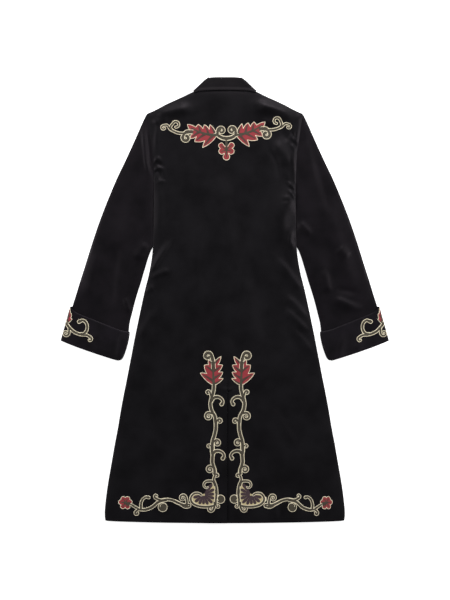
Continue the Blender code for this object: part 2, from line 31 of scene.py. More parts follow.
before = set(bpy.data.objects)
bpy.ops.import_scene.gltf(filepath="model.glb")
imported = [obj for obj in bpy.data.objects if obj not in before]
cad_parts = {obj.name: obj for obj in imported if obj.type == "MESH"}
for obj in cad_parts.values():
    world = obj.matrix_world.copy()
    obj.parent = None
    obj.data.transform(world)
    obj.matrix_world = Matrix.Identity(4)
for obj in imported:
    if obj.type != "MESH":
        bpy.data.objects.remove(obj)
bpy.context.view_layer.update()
millimetre = 0.001

cloth = dict(
    wall=1.5,              # velvet with its pile
    seam=0.15,             # half the space at a sewn edge
    layer=1.5,             # from the middle of the flat coat to each of its two layers
    outer=4.5,             # the same for a cuff or collar that lies over them
    lowMiddle=2.4,         # height of the flat coat's middle
    highMiddle=5.4,        # the same at the neck and wrist, where it lies on collar or cuff
    seamLift=0.4,
    inset=2.0,             # from the outline to where the edge begins to roll
    foldInset=2.4,
    turnedInset=5.4,
    fullness=3.4,          # how far the upper layer stands off when no fold lifts it
    fullReach=12.0,        # from the edge, before it does
    foldReach=5.0,         # the same for folds
    lowest=-0.5,           # how far a trough may press the upper layer down
    step=4.0,              # spacing of the fine surface
)
hem = dict(corner=-584, drop=7)                # height of its corners, and how much lower its middle is
vent = dict(
    top=-236,
    underlap=35,
    flap=2.0,                  # how far the upper half stands off the lower
    flapAcross=(0.76, 0.85),   # shares of the panel's width over which that begins
    flapUp=(-235, -195),       # heights over which it ends
    underAcross=(2, -6),       # the same for the flat underlap, from the centre seam
    underUp=(-250, -225),
)
neckOval = dict(height=560, halfWidth=84, halfDepth=108)
cuffEdge = dict(place=(409, -15), up=(-0.402, 0.915))
# round lengths that set how many steps a grid gets, and how far up inside its cuff a sleeve ends
lengths = dict(shoulder=155, neck=100, cuff=97, wrist=165, wristInside=6.3)
elbow = (278.5, 340)       # on the sleeve's outside, level with the foot of the armhole


# Small tools

def smoothStep(low, high, value):
    part = np.clip((np.asarray(value, dtype=float) - low) / (high - low), 0.0, 1.0)
    return part * part * (3.0 - 2.0 * part)


def lengthsAlong(points):
    steps = np.sqrt((np.diff(points, axis=0) ** 2).sum(axis=1))
    return np.concatenate([[0.0], np.cumsum(steps)])


def sample(points, parts):
    points = np.asarray(points, dtype=float)
    reach = lengthsAlong(points)
    wanted = np.asarray(parts, dtype=float) * reach[-1]
    return np.column_stack([np.interp(wanted, reach, points[:, axis]) for axis in range(points.shape[1])])


def smoothLine(points, density):
    # A Catmull-Rom curve through the points, so that a short table gives a flowing line.
    points = np.asarray(points, dtype=float)
    if len(points) < 3:
        return sample(points, np.linspace(0, 1, density + 1))
    padded = np.vstack([2 * points[0] - points[1], points, 2 * points[-1] - points[-2]])
    line = []
    for before, start, end, after in zip(padded, padded[1:], padded[2:], padded[3:]):
        for part in np.arange(density) / density:
            line.append(0.5 * (2 * start + (end - before) * part
                               + (2 * before - 5 * start + 4 * end - after) * part ** 2
                               + (3 * start - before - 3 * end + after) * part ** 3))
    line.append(points[-1])
    return np.array(line)


def evenParts(length, step):
    return np.linspace(0.0, 1.0, max(3, int(round(length / step)) + 1))


def resample(course, step):
    course = np.asarray(course, dtype=float)
    return sample(course, evenParts(lengthsAlong(course)[-1], step))


def spacedLine(points, density, step):
    return resample(smoothLine(points, density), step)


def nearestOn(course, spot):
    return int(np.argmin(np.hypot(*(course - np.asarray(spot)).T)))


def unit(vector):
    return vector / np.hypot(*vector)


def leftOf(vector):
    return np.stack([-vector[..., 1], vector[..., 0]], axis=-1)


def outwardNormals(points, outside):
    forward = np.gradient(points, axis=0)
    forward /= np.maximum(np.sqrt((forward ** 2).sum(axis=1)), 1e-9)[:, None]
    return outside * leftOf(forward)


def cornerShift(firstNormal, firstAmount, secondNormal, secondAmount):
    return np.linalg.solve(np.array([firstNormal, secondNormal]), np.array([firstAmount, secondAmount]))


def edgeShift(sideNormal, out, fullOut, endNormal, up, fullUp):
    # The way out at a side and up at an end, which run together where both meet.
    side, end = out / fullOut, up / fullUp
    shift = side * end * cornerShift(sideNormal, fullOut, endNormal, fullUp)
    return shift + side * (1 - end) * sideNormal * fullOut + (1 - side) * end * endNormal * fullUp


def blendPatch(left, right, low, high, across, along):
    # A grid of points between four edges.
    across, along = np.asarray(across)[None, :, None], np.asarray(along)[:, None, None]
    sides = (1 - across) * left[:, None, :] + across * right[:, None, :]
    ends = (1 - along) * low[None, :, :] + along * high[None, :, :]
    corners = (1 - across) * (1 - along) * left[0] + across * (1 - along) * right[0]
    return sides + ends - corners - (1 - across) * along * left[-1] - across * along * right[-1]


def roundCorner(x, y, corner, first, second, radius):
    # Draws points beside a sharp corner in to a quarter circle; first and second run along its edges.
    x, y = np.asarray(x, dtype=float), np.asarray(y, dtype=float)
    away = np.stack([x - corner[0], y - corner[1]])
    turn = first[0] * second[1] - first[1] * second[0]
    along = (away[0] * second[1] - away[1] * second[0]) / turn
    up = (away[1] * first[0] - away[0] * first[1]) / turn
    near = (along < radius) & (up < radius) & (along > -radius / 3) & (up > -radius / 3)
    u, v = 1 - along / radius, 1 - up / radius
    newAlong = np.where(near, radius * (1 - u * np.sqrt(np.maximum(1 - v ** 2 / 2, 0))), along)
    newUp = np.where(near, radius * (1 - v * np.sqrt(np.maximum(1 - u ** 2 / 2, 0))), up)
    return [corner[axis] + newAlong * first[axis] + newUp * second[axis] for axis in (0, 1)]


# Outlines of the right half, from the hem up; the left half mirrors them

outline = dict(
    side=((316.8, -584), (318.5, -572), (318.0, -551), (313.2, -508), (306.6, -466), (299.2, -424),
          (291.8, -381), (283.8, -339), (276.7, -296), (269.0, -254), (260.5, -212), (251.2, -164),
          (247.0, -143), (238.8, -100), (230.3, -58), (221.5, -16), (212.0, 27), (201.4, 69),
          (193.7, 112), (190.7, 146), (189.6, 200), (189.1, 260), (188.6, 312)),
    armhole=((188.3, 331), (189.2, 351), (190.0, 371), (192.0, 398), (196.5, 424), (200.3, 451),
             (202.8, 470), (204.6, 481), (210.1, 488)),
    shoulder=((210.1, 488), (205.4, 494.6), (191.1, 500.7), (176.8, 507.8), (160.3, 517), (143.4, 525),
              (125.3, 533), (106.3, 541.5), (88.0, 550.6), (81.6, 552.4), (74.2, 559.8)),
    backNeck=((74.2, 559.8), (64, 560.85), (3, 560.85)),
    frontNeck=((74.2, 559.8), (68.5, 548.1), (59.3, 514.8), (42.2, 485.1), (22.7, 465.9), (0.6, 461)),
    sleeveOutside=((428.6, -99.8), (420, -72), (410.5, -40), (403.5, -15), (397.2, 5.7), (384.3, 48),
                   (370.7, 90.5), (357.5, 133), (350.9, 154), (336.6, 196.5), (320.9, 239), (304, 281),
                   (285.7, 324), (265.5, 366), (245.9, 408.5), (227.1, 451), (217.8, 472), (210.1, 488)),
    sleeveInside=((273.6, -152.5), (267.6, -139), (261.5, -121.5), (256.2, -100), (254.2, -80),
                  (251.5, -58), (246.2, -36.7), (240.9, -15.5), (235.1, 5.7), (228.7, 26.9), (221.8, 48),
                  (215.7, 69.3), (209.4, 90.5), (203, 111.7), (196.2, 130), (190.6, 141), (189.6, 160),
                  (189.2, 180), (188.9, 230), (188.6, 275), (188.25, 312)),
    cuffTop=((409.2, -15), (395, -32), (353, -50), (310, -67), (276, -80), (251, -84)),
    cuffBottom=((435.4, -107.5), (397, -123), (358, -137), (322, -149), (288, -159.5), (273, -162)),
    cuffOutside=((409.2, -15), (418, -46), (427, -77), (435.4, -107.5)),
    cuffInside=((251, -84), (252.8, -100), (257.6, -121.5), (264.6, -142.7), (273, -162)),
)
cuffCorner = dict(corner=(273, -162), first=(0.986, 0.164), second=(-0.399, 0.917), radius=12.5)

# Folds in the cloth that faces up: height, half width on each side of the course, course
backFolds = (
    # soft ridges that wander down the back and the skirt
    (4.0, 24, 40, ((-20, 330), (-13, 305), (6, 199), (16, 130), (59, 14), (64, -39), (83, -111), (88, -190),
                   (120, -243))),
    (3.4, 20, 34, ((60, -250), (95, -300), (128, -360), (172, -450))),
    (2.8, 14, 22, ((105, -270), (150, -330), (190, -400))),
    (2.6, 18, 24, ((-60, 250), (-75, 100), (-70, -60))),
    (3.0, 22, 30, ((-150, -150), (-190, -330), (-215, -500))),
    (2.6, 20, 26, ((-90, -60), (-112, -200), (-120, -330))),
    (2.4, 20, 26, ((40, -430), (50, -500), (60, -575))),
    (3.0, 9, 11, ((128, -530), (134, -556), (136, -586))),
    # the shoulders
    (10.5, 14, 17, ((76, 518), (130, 506), (192, 482))),
    (3.5, 12, 12, ((96, 476), (120, 470), (150, 460))),
    (9.5, 12, 15, ((-80, 508), (-140, 500), (-190, 488))),
    (4.0, 8, 8, ((-196, 470), (-170, 476), (-148, 480))),
    (3.0, 8, 6, ((-192, 482), (-178, 466), (-181, 430), (-183, 385))),
    # hollow, fold and creases at the right armhole
    (-4.0, 12, 12, ((148, 450), (160, 437), (173, 424))),
    (6.0, 15, 18, ((124, 418), (145, 401), (160, 380), (166, 350))),
    (-2.6, 7, 8, ((112, 412), (136, 372), (143, 345), (142, 312))),
    (-4.5, 3.5, 3.5, ((176, 448), (183, 437), (177, 427))),
    (-5.0, 3.5, 3.5, ((179, 420), (187, 412), (181, 402))),
    (3.6, 3.5, 4, ((172, 438), (184, 424))),
    (3.2, 3, 3.5, ((175, 411), (187, 399))),
    (3.6, 7, 5, ((197, 486), (194, 455), (189, 428), (183, 392), (183, 350), (185, 313))),
    (-3.2, 3, 3.5, ((156, 338), (170, 334), (183, 332))),
    (2.8, 4, 4, ((160, 328), (173, 324))),
    (5.4, 3.5, 4.5, ((166, 313), (179, 301), (188, 285))),
    (-2.8, 3, 3, ((174, 301), (186, 287))),
    (5.0, 3.5, 4, ((169, 291), (181, 278), (188, 264))),
    (1.2, 4, 5, ((150, 269), (165, 272), (183, 271))),
    (-1.0, 3.5, 3.5, ((150, 261), (171, 264))),
    (8.6, 22, 30, ((188, 302), (166, 258), (151, 226), (149, 190), (152, 146))),
    (4.6, 9, 6, ((180, 190), (172, 160), (184, 132))),
    # the right waist
    (4.4, 9, 14, ((133, 116), (160, 84), (186, 50), (204, 28))),
    (3.8, 8, 12, ((160, 14), (190, -14), (218, -48))),
    (3.6, 8, 12, ((158, -22), (190, -52), (222, -84))),
    (3.0, 9, 12, ((172, -70), (204, -104), (232, -140))),
    # wrinkles at the left armhole and waist
    (4.2, 3.5, 4, ((-188, 365), (-178, 376), (-166, 364))),
    (-4.2, 3.5, 3.5, ((-188, 356), (-177, 362), (-162, 352))),
    (3.8, 3.5, 4, ((-188, 345), (-176, 351), (-158, 345))),
    (-3.6, 3, 3, ((-188, 336), (-176, 341), (-158, 334))),
    (3.2, 3.5, 4, ((-188, 327), (-174, 332), (-156, 326))),
    (-2.6, 3, 3, ((-185, 320), (-170, 323), (-160, 319))),
    (2.6, 3.5, 4, ((-183, 313), (-168, 316), (-156, 311))),
    (2.6, 11, 14, ((-172, 306), (-171, 240), (-178, 165))),
    (5.6, 6, 9, ((-140, 160), (-162, 128), (-184, 94), (-197, 74))),
    (3.4, 7, 9, ((-143, 79), (-168, 71), (-198, 60))),
    (3.4, 7, 9, ((-186, 36), (-200, 29), (-210, 20))),
    (2.8, 9, 12, ((-176, -20), (-204, -60), (-226, -104))),
    # the mouth of the vent
    (2.2, 4, 6, ((-16, -231), (7, -238), (28, -231))),
)
sleeveFolds = (
    (5.0, 9, 13, ((284, 2), (312, -4), (350, -22), (392, -30))),
    (-2.6, 8, 8, ((290, 26), (320, 26), (352, 18))),
    (4.0, 10, 15, ((262, 86), (269, 48), (277, 16))),
    (4.0, 8, 12, ((196, 208), (212, 191), (231, 173))),
    (4.0, 13, 15, ((300, 142), (316, 126), (330, 112))),
    (3.4, 18, 24, ((250, 300), (290, 190), (322, 90), (352, 10))),
    (2.0, 10, 16, ((218, 430), (224, 380), (236, 320))),
    (-2.6, 10, 12, ((238, 400), (262, 300), (280, 220))),
    (4.0, 8, 6, ((-218, 470), (-213, 420), (-208, 365), (-197, 318))),
    (-3.2, 6, 6, ((-205, 458), (-200, 400), (-196, 345))),
    (4.6, 11, 14, ((-204, 154), (-220, 129), (-238, 106))),
    (-3.6, 14, 20, ((-282, 160), (-298, 60), (-304, -40))),
    (3.8, 12, 20, ((-330, 160), (-350, 70), (-366, 0))),
    (3.8, 6, 8, ((-250, -34), (-260, -14), (-266, 10))),
    (3.4, 18, 24, ((-236, 300), (-262, 200), (-286, 120))),
)
cuffFolds = (
    (3.4, 8, 13, ((302, -166), (304, -128), (316, -84))),
    (2.4, 14, 10, ((352, -140), (358, -110), (366, -76))),
    (2.8, 9, 14, ((-286, -170), (-276, -122), (-268, -84))),
    (2.2, 12, 12, ((-330, -150), (-338, -112), (-346, -80))),
)
# low folds of the hidden fronts, which lift them off the surface they lie on
frontFolds = (
    (2.0, 16, 22, ((92, 400), (74, 260), (88, 80), (66, -90))),
    (1.8, 18, 26, ((120, -60), (150, -220), (190, -420))),
    (1.7, 18, 20, ((58, -260), (70, -380), (64, -520))),
    (2.0, 18, 22, ((-70, 420), (-96, 300), (-84, 120), (-110, -20))),
    (1.8, 20, 26, ((-96, -120), (-140, -300), (-160, -470))),
    (1.6, 14, 18, ((-150, 90), (-172, 10), (-196, -110))),
    (1.5, 14, 16, ((130, 190), (152, 130), (176, 60))),
)


def foldHeight(x, y, folds):
    # Each fold is a soft bump round its course that falls to 0.15 of its height at both ends. Beyond its
    # reach it is as good as nothing.
    total = np.zeros(np.shape(x))
    flat = total.reshape(-1)
    flatX, flatY = np.ravel(x), np.ravel(y)
    for height, leftWidth, rightWidth, course in folds:
        line = smoothLine(course, 8)
        reach = 3.2 * max(leftWidth, rightWidth)
        near = ((flatX > line[:, 0].min() - reach) & (flatX < line[:, 0].max() + reach)
                & (flatY > line[:, 1].min() - reach) & (flatY < line[:, 1].max() + reach))
        if not near.any():
            continue
        px, py = flatX[near][:, None], flatY[near][:, None]
        run = np.diff(line, axis=0)
        square = (run ** 2).sum(axis=1)
        part = ((px - line[:-1, 0]) * run[:, 0] + (py - line[:-1, 1]) * run[:, 1]) / square
        inside = np.clip(part, 0, 1)
        awayX = px - line[:-1, 0] - inside * run[:, 0]
        awayY = py - line[:-1, 1] - inside * run[:, 1]
        distance = np.hypot(awayX, awayY)
        nearest = distance.argmin(axis=1)
        rows = np.arange(len(nearest))
        along = (nearest + inside[rows, nearest]) / len(run)
        turn = run[nearest, 0] * awayY[rows, nearest] - run[nearest, 1] * awayX[rows, nearest]
        width = np.where(turn > 0, leftWidth, rightWidth)
        taper = smoothStep(0, 0.3, along) * smoothStep(0, 0.3, 1 - along) * 0.85 + 0.15
        flat[near] += height * taper * np.exp(-(distance[rows, nearest] / width) ** 2)
    return total


def softDrape(x, y):
    # Slow unevenness that any laid cloth keeps.
    wave = (np.sin(x / 27 + 1.3 + np.sin(y / 90)) * np.cos(y / 41 + 0.4)
            + 0.8 * np.sin((x + y) / 37 + 2.1) * np.cos((x - y) / 53))
    return 0.8 * wave + 0.3 * np.sin(x / 13 + y / 57 + 0.7) * np.cos(y / 23 + 1.9)


def neckLift(x, y, slope):
    oval = np.sqrt((x / neckOval["halfWidth"]) ** 2 + ((y - neckOval["height"]) / neckOval["halfDepth"]) ** 2)
    return 1.0 - smoothStep(1.0, slope, oval)


def cuffLift(x, y):
    (left, low), (across, up) = cuffEdge["place"], cuffEdge["up"]
    above = across * (np.abs(x) - left) + up * (y - low)
    return 1.0 - smoothStep(3.0, 33.0, above)


def middleHeight(lift):
    return cloth["lowMiddle"] + (cloth["highMiddle"] - cloth["lowMiddle"]) * lift


def rollSteps(layer):
    # From flat cloth round to a side seam: way out and height above the middle of the tube.
    roll = layer - cloth["seamLift"]
    steps = [(roll * math.cos(turn), cloth["seamLift"] + roll * math.sin(turn))
             for turn in np.linspace(math.pi / 2, 0, 7)[1:]]
    return steps + [(roll, cloth["seam"])]


def edgeProfile(kind):
    if kind == "rolled":
        steps = rollSteps(cloth["layer"])
    else:
        bend = 0.3 if kind == "half" else 0.0
        steps = [(flatEdge * part, cloth["layer"] - bend * part ** 2) for part in np.linspace(0, 1, 8)[1:]]
    return [(out, height / cloth["layer"]) for out, height in steps]


flatEdge = cloth["inset"] + 0.03               # two flat edges that meet overlap a little
profiles = {kind: edgeProfile(kind) for kind in ("rolled", "half", "flat")}


def puff(distance, reach=14.0):
    # Cloth rises softly from its edge instead of lying dead flat.
    return 1.0 - np.exp(-np.maximum(distance, 0) / reach)


def growEdges(base, sideNormals, sideKinds, topNormals, topKinds):
    # Adds the rolled or flat edge at the side and top, with the share of the layer's height at each point.
    rows, columns = base.shape[:2]
    extra = len(profiles["flat"])
    plan = np.zeros((rows + extra, columns + extra, 2))
    share = np.ones(plan.shape[:2])
    plan[:rows, extra:] = base
    for row in range(rows + extra):
        baseRow, stepUp = min(row, rows - 1), max(row - rows + 1, 0)
        for column in range(columns + extra if stepUp else extra):
            baseColumn, stepOut = max(column - extra, 0), max(extra - column, 0)
            sideSteps, topSteps = profiles[sideKinds[baseRow]], profiles[topKinds[baseColumn]]
            out, outShare = sideSteps[stepOut - 1] if stepOut else (0.0, 1.0)
            up, upShare = topSteps[stepUp - 1] if stepUp else (0.0, 1.0)
            shift = edgeShift(sideNormals[baseRow], out, sideSteps[-1][0],
                              topNormals[baseColumn], up, topSteps[-1][0])
            plan[row, column] = base[baseRow, baseColumn] + shift
            share[row, column] = outShare * upShare
    return plan, share


def bodyGrid(step, neck, middleLine):
    # Fine plan grid of one body panel, as a right-hand one, with the share of the layer height.
    free = spacedLine(outline["side"], 8, step)
    sewn = np.vstack([spacedLine(outline["armhole"][:-1], 6, step), outline["armhole"][-1:]])
    side = np.vstack([free, sewn])
    sideKinds = ["rolled"] * (len(free) - 1) + ["half"] + ["flat"] * len(sewn)
    reach = lengthsAlong(side)
    along = reach / reach[-1]
    shoulderParts = evenParts(lengths["shoulder"], step * 0.9)
    neckParts = evenParts(lengths["neck"], step * 1.2)[1:]
    shoulder = sample(outline["shoulder"], shoulderParts)
    middle = middleLine(along)
    neckPoints = np.array(neck, dtype=float)
    neckPoints[-1] = middle[-1]
    top = np.vstack([shoulder, sample(neckPoints, neckParts)])
    topKinds = ["rolled"] * (len(shoulder) - 1) + ["half"] + ["flat"] * len(neckParts)
    columns = np.concatenate([shoulderParts * 0.6, 0.6 + neckParts * 0.4])
    low = hemLine(columns, side[0], middle[0])
    sideNormals, topNormals = outwardNormals(side, -1.0), outwardNormals(top, -1.0)
    topNormals[-1] = (0, 1)
    foot = len(shoulder) - 1
    shoulderNormal = outwardNormals(top[foot - 1:foot + 1], -1.0)[0]
    neckNormal = outwardNormals(top[foot:foot + 2], -1.0)[0]
    topNormals[foot] = unit(shoulderNormal + neckNormal)
    inset = cloth["inset"]
    sideBase, topBase = side - sideNormals * inset, top - topNormals * inset
    topBase[foot] = top[foot] + cornerShift(shoulderNormal, -inset, neckNormal, -inset)
    sideBase[0] = side[0] - np.array([inset, 0])
    sideBase[-1] = topBase[0] = side[-1] + cornerShift(sideNormals[-1], -inset, topNormals[0], -inset)
    middle[-1] = topBase[-1]
    low[0], low[-1] = sideBase[0], middle[0]
    base = blendPatch(sideBase, middle, low, topBase, columns, along)
    return growEdges(base, sideNormals, sideKinds, topNormals, topKinds) + (columns,)


def hemLine(columns, corner, middle):
    width = (1 - columns) * corner[0] + columns * middle[0]
    return np.column_stack([width, hem["corner"] - hem["drop"] * np.sin(columns * math.pi / 2) ** 0.6])


def centreSeam(y):
    return 3.0 + 3.5 * (1.0 - smoothStep(-235, 420, y))


def middleHeights(along, neck):
    low = hem["corner"] - hem["drop"]
    return low + (outline[neck][-1][1] - low) * along


def backMiddle(side):
    def line(along):
        heights = middleHeights(along, "backNeck")
        seam = centreSeam(heights) * side + 0.03 - 0.06 * smoothStep(vent["top"], vent["top"] + 16, heights)
        if side > 0:
            seam = seam - vent["underlap"] * smoothStep(vent["top"] - 1, vent["top"] - 10, heights)
        return np.column_stack([seam, heights])
    return line


def frontMiddle(along):
    heights = middleHeights(along, "frontNeck")
    return np.column_stack([np.full(len(heights), 0.6), heights])


def edgeFade(share):
    # Relief ends before the edge rolls down.
    return np.clip((share - 0.6) / 0.4, 0.0, 1.0)


def sideDistance(x, y):
    # Rough distance from the side or shoulder edge of the body.
    table = np.array(outline["side"] + outline["armhole"])
    across = np.interp(y, table[:, 1], table[:, 0]) - np.abs(x)
    shoulder = np.array(outline["shoulder"])[::-1]
    down = (np.interp(np.abs(x), shoulder[:, 0], shoulder[:, 1]) - y) * 0.9
    return across, down


def relief(x, y, folds, edge):
    lift = foldHeight(x, y, folds) * puff(edge, cloth["foldReach"]) + softDrape(x, y) * puff(edge)
    return np.maximum(cloth["fullness"] * puff(edge, cloth["fullReach"]) + lift, cloth["lowest"])


def backHeights(x, y, share):
    lift = relief(x, y, backFolds, np.minimum(*sideDistance(x, y)))
    return middleHeight(neckLift(x, y, 1.8)) + cloth["layer"] * share + lift * edgeFade(share)


def backPanel(side):
    plan, share, columns = bodyGrid(cloth["step"], outline["backNeck"], backMiddle(side))
    x, y = plan[..., 0] * side, plan[..., 1]
    height = backHeights(x, y, share)
    if side < 0:
        across = np.concatenate([np.zeros(share.shape[1] - len(columns)), columns])
        height += vent["flap"] * smoothStep(*vent["flapAcross"], across) * (1 - smoothStep(*vent["flapUp"], y))
    else:
        # the underlap lies flat against the front, below the other half
        under = smoothStep(*vent["underAcross"], x - centreSeam(y)) * (1 - smoothStep(*vent["underUp"], y))
        flat = middleHeight(0) + cloth["layer"]
        height = height * (1 - under) + flat * under
    return np.dstack([x, y, height])


def frontPanel(side):
    # Plain cloth needs a coarse grid only. Its folds stay low and begin 10 mm from the edge.
    plan, share, _ = bodyGrid(9.0, outline["frontNeck"], frontMiddle)
    x, y = plan[..., 0] * side, plan[..., 1]
    edge = np.minimum(np.minimum(*sideDistance(x, y)), np.abs(x))
    lift = np.clip(foldHeight(x, y, frontFolds), 0, 2.2) * puff(edge - 10, 20.0) * edgeFade(share)
    return np.dstack([x, y, middleHeight(neckLift(x, y, 1.6)) - cloth["layer"] * share + lift])


print("outlines and folds ready")


# Sleeves and cuffs

def sleeveEdges(step):
    outsideLine = smoothLine(outline["sleeveOutside"], 8)
    turn = nearestOn(outsideLine, elbow)
    free, sewn = spacedLine(outline["sleeveInside"], 8, step), spacedLine(outline["armhole"][:-1], 6, step)
    freeParts, sewnParts = np.linspace(0, 1, len(free)), np.linspace(0, 1, len(sewn))
    outside = np.vstack([sample(outsideLine[:turn + 1], freeParts),
                         sample(outsideLine[turn:], 0.03 + 0.97 * sewnParts)])
    return np.vstack([free, sewn]), outside, ["rolled"] * (len(free) - 1) + ["half"] + ["flat"] * len(sewn)


def cuffBase(step):
    # The plan of a cuff within its rolled edges, as a right-hand one, from the folded edge to the wrist.
    rows, columns = evenParts(lengths["cuff"], step), evenParts(lengths["wrist"], step)
    outside, inside = (sample(smoothLine(outline[name], 8), rows) for name in ("cuffOutside", "cuffInside"))
    bottom, top = (sample(smoothLine(outline[name][::-1], 8), columns) for name in ("cuffBottom", "cuffTop"))
    outsideNormals, insideNormals = outwardNormals(outside, 1.0), outwardNormals(inside, -1.0)
    bottomNormals = outwardNormals(bottom, -1.0)
    turned, fold = cloth["turnedInset"], cloth["foldInset"]
    insideBase, outsideBase = inside - insideNormals * turned, outside - outsideNormals * turned
    bottomBase = bottom - bottomNormals * fold
    insideBase[-1] = inside[-1] + cornerShift(insideNormals[-1], -turned, bottomNormals[0], -fold)
    outsideBase[-1] = outside[-1] + cornerShift(outsideNormals[-1], -turned, bottomNormals[-1], -fold)
    bottomBase[0], bottomBase[-1] = insideBase[-1], outsideBase[-1]
    insideBase[0] = inside[0] + np.array([turned, 0.6])
    outsideBase[0] = outside[0] + np.array([-turned, -3.2])
    top[0], top[-1] = insideBase[0], outsideBase[0]
    base = blendPatch(insideBase, outsideBase, top, bottomBase, columns, rows)
    return base, insideNormals, outsideNormals, bottomNormals


def stepBack(cuff, distance):
    # The cuff's last row, moved back up inside it.
    base, insideNormals, outsideNormals, bottomNormals = cuff
    row = base[-1] - bottomNormals * distance
    row[0] = base[-1][0] + cornerShift(insideNormals[-1], 0.0, bottomNormals[0], -distance)
    row[-1] = base[-1][-1] + cornerShift(outsideNormals[-1], 0.0, bottomNormals[-1], -distance)
    return row


def sleeveGrid(step):
    inside, outside, kinds = sleeveEdges(step)
    insideNormals, outsideNormals = outwardNormals(inside, 1.0), outwardNormals(outside, -1.0)
    topNormal = unit(leftOf(np.subtract(outline["armhole"][-1], outline["armhole"][-2])))
    insideNormals[-1], outsideNormals[-1] = insideNormals[-2], outsideNormals[-2]
    inset, fold = cloth["inset"], cloth["foldInset"]
    insideBase, outsideBase = inside - insideNormals * inset, outside - outsideNormals * fold
    insideBase[-1] = inside[-1] + cornerShift(insideNormals[-1], -inset, topNormal, -inset)
    outsideBase[-1] = outside[-1] + cornerShift(outsideNormals[-1], -fold, topNormal, -inset)
    wrist = stepBack(cuffBase(step), lengths["wristInside"])
    columns = evenParts(lengths["wrist"], step)
    insideBase[0], outsideBase[0] = wrist[0], wrist[-1]
    high = (1 - columns[:, None]) * insideBase[-1] + columns[:, None] * outsideBase[-1]
    reach = lengthsAlong(inside)
    patch = blendPatch(insideBase, outsideBase, wrist, high, columns, reach / reach[-1])
    return patch, insideNormals, outsideNormals, kinds, topNormal


foldTurns = np.radians((75, 60, 45, 30, 15, 0))   # round the outer fold of a sleeve or cuff


def sleeveHalf(step):
    # One layer of a sleeve: its plan, the share of the layer's height, and the distance from its edges.
    base, insideNormals, outsideNormals, kinds, topNormal = sleeveGrid(step)
    rows, columns = base.shape[:2]
    extra = len(profiles["flat"])
    layer, fullUp = cloth["layer"], flatEdge
    plan = np.zeros((rows + 1, extra + columns + len(foldTurns), 2))
    share = np.ones(plan.shape[:2])
    across = np.zeros(plan.shape[:2])
    for row in range(rows + 1):
        baseRow, up = min(row, rows - 1), (fullUp if row == rows else 0.0)
        for column in range(plan.shape[1]):
            baseColumn = min(max(column - extra, 0), columns - 1)
            normal, out, fullOut = outsideNormals[baseRow], 0.0, layer
            if column < extra:
                steps = profiles[kinds[baseRow]]
                out, share[row, column] = steps[extra - column - 1]
                normal, fullOut = insideNormals[baseRow], steps[-1][0]
            elif column >= extra + columns:
                turn = foldTurns[column - extra - columns]
                out, share[row, column] = layer * math.cos(turn), math.sin(turn)
            shift = edgeShift(normal, out, fullOut, topNormal, up, fullUp)
            plan[row, column] = base[baseRow, baseColumn] + shift
            width = np.hypot(*(base[baseRow, -1] - base[baseRow, 0]))
            part = baseColumn / (columns - 1)
            across[row, column] = min(width * (1 - part), width * part)
    return plan, share, across


def sleevePanel(side):
    plan, share, across = sleeveHalf(cloth["step"])
    plan = np.concatenate([plan, plan[:, -2::-1]], axis=1)
    share = np.concatenate([-share, share[:, -2::-1]], axis=1)
    across = np.concatenate([across, across[:, -2::-1]], axis=1)
    x, y = roundCorner(plan[..., 0], plan[..., 1], **cuffCorner)
    x = x * side
    lift = cuffLift(x, y)
    total = relief(x, y, sleeveFolds, across) * edgeFade(share) * (1 - lift) * (share > 0)
    # The layer below has the other sleeve's folds, much lower.
    under = np.clip(0.4 * foldHeight(-x, y, sleeveFolds), 0, 1.2) * puff(across, cloth["fullReach"])
    total += under * edgeFade(-share) * (1 - lift)
    return np.dstack([x, y, middleHeight(lift) + cloth["layer"] * share + total])


def cuffPanel(side):
    step = cloth["step"]
    cuff = base, insideNormals, outsideNormals, bottomNormals = cuffBase(step)
    last, outer, layer = len(base) - 1, cloth["outer"], cloth["layer"]
    middle, reach = (outer + layer) / 2, (outer - layer) / 2
    # The folded upper edge bends down to the sleeve over its last few millimetres.
    rows = [(base[0] + (base[1] - base[0]) * part / step, outer - drop, 0, 0.0)
            for part, drop in ((0.0, 1.4), (0.6, 0.85), (1.3, 0.42), (2.2, 0.13))]
    rows += [(base[row], outer, row, 0.0) for row in range(1, last + 1)]
    outside = len(rows)
    # Round the wrist and a little way up inside.
    rows += [(base[last], middle + reach * math.cos(turn), last, reach * math.sin(turn))
             for turn in np.radians(np.linspace(0, 180, 9)[1:])]
    rows += [(stepBack(cuff, back), layer, last, 0.0) for back in (2.0, 4.0, 6.0)]
    grid = []
    for points, height, row, down in rows:
        ring = []
        for topSide in (-1.0, 1.0):
            steps = rollSteps(height)
            full = steps[-1][0]
            half = [(points[0] + edgeShift(insideNormals[row], out, full, bottomNormals[0], down, reach),
                     topSide * rise) for out, rise in reversed(steps)]
            half += [(point + normal * down, topSide * height) for point, normal in zip(points, bottomNormals)]
            for turn in foldTurns:
                out = height * math.cos(turn)
                shift = edgeShift(outsideNormals[row], out, height, bottomNormals[-1], down, reach)
                half.append((points[-1] + shift, topSide * height * math.sin(turn)))
            ring += half if topSide < 0 else half[-2::-1]
        grid.append([(place[0], place[1], rise) for place, rise in ring])
    grid = np.array(grid)
    x, y = roundCorner(grid[..., 0], grid[..., 1], **cuffCorner)
    x, rise = x * side, grid[..., 2]
    number = np.arange(len(grid))[:, None]
    upper = smoothStep(0.9, 1.0, rise / outer) * (number < outside) * smoothStep(0, 16, number * step)
    return np.dstack([x, y, cloth["highMiddle"] + rise + foldHeight(x, y, cuffFolds) * upper])


# Collar: roll line, sewn edge and free edge in plan, from the centre back round to the front

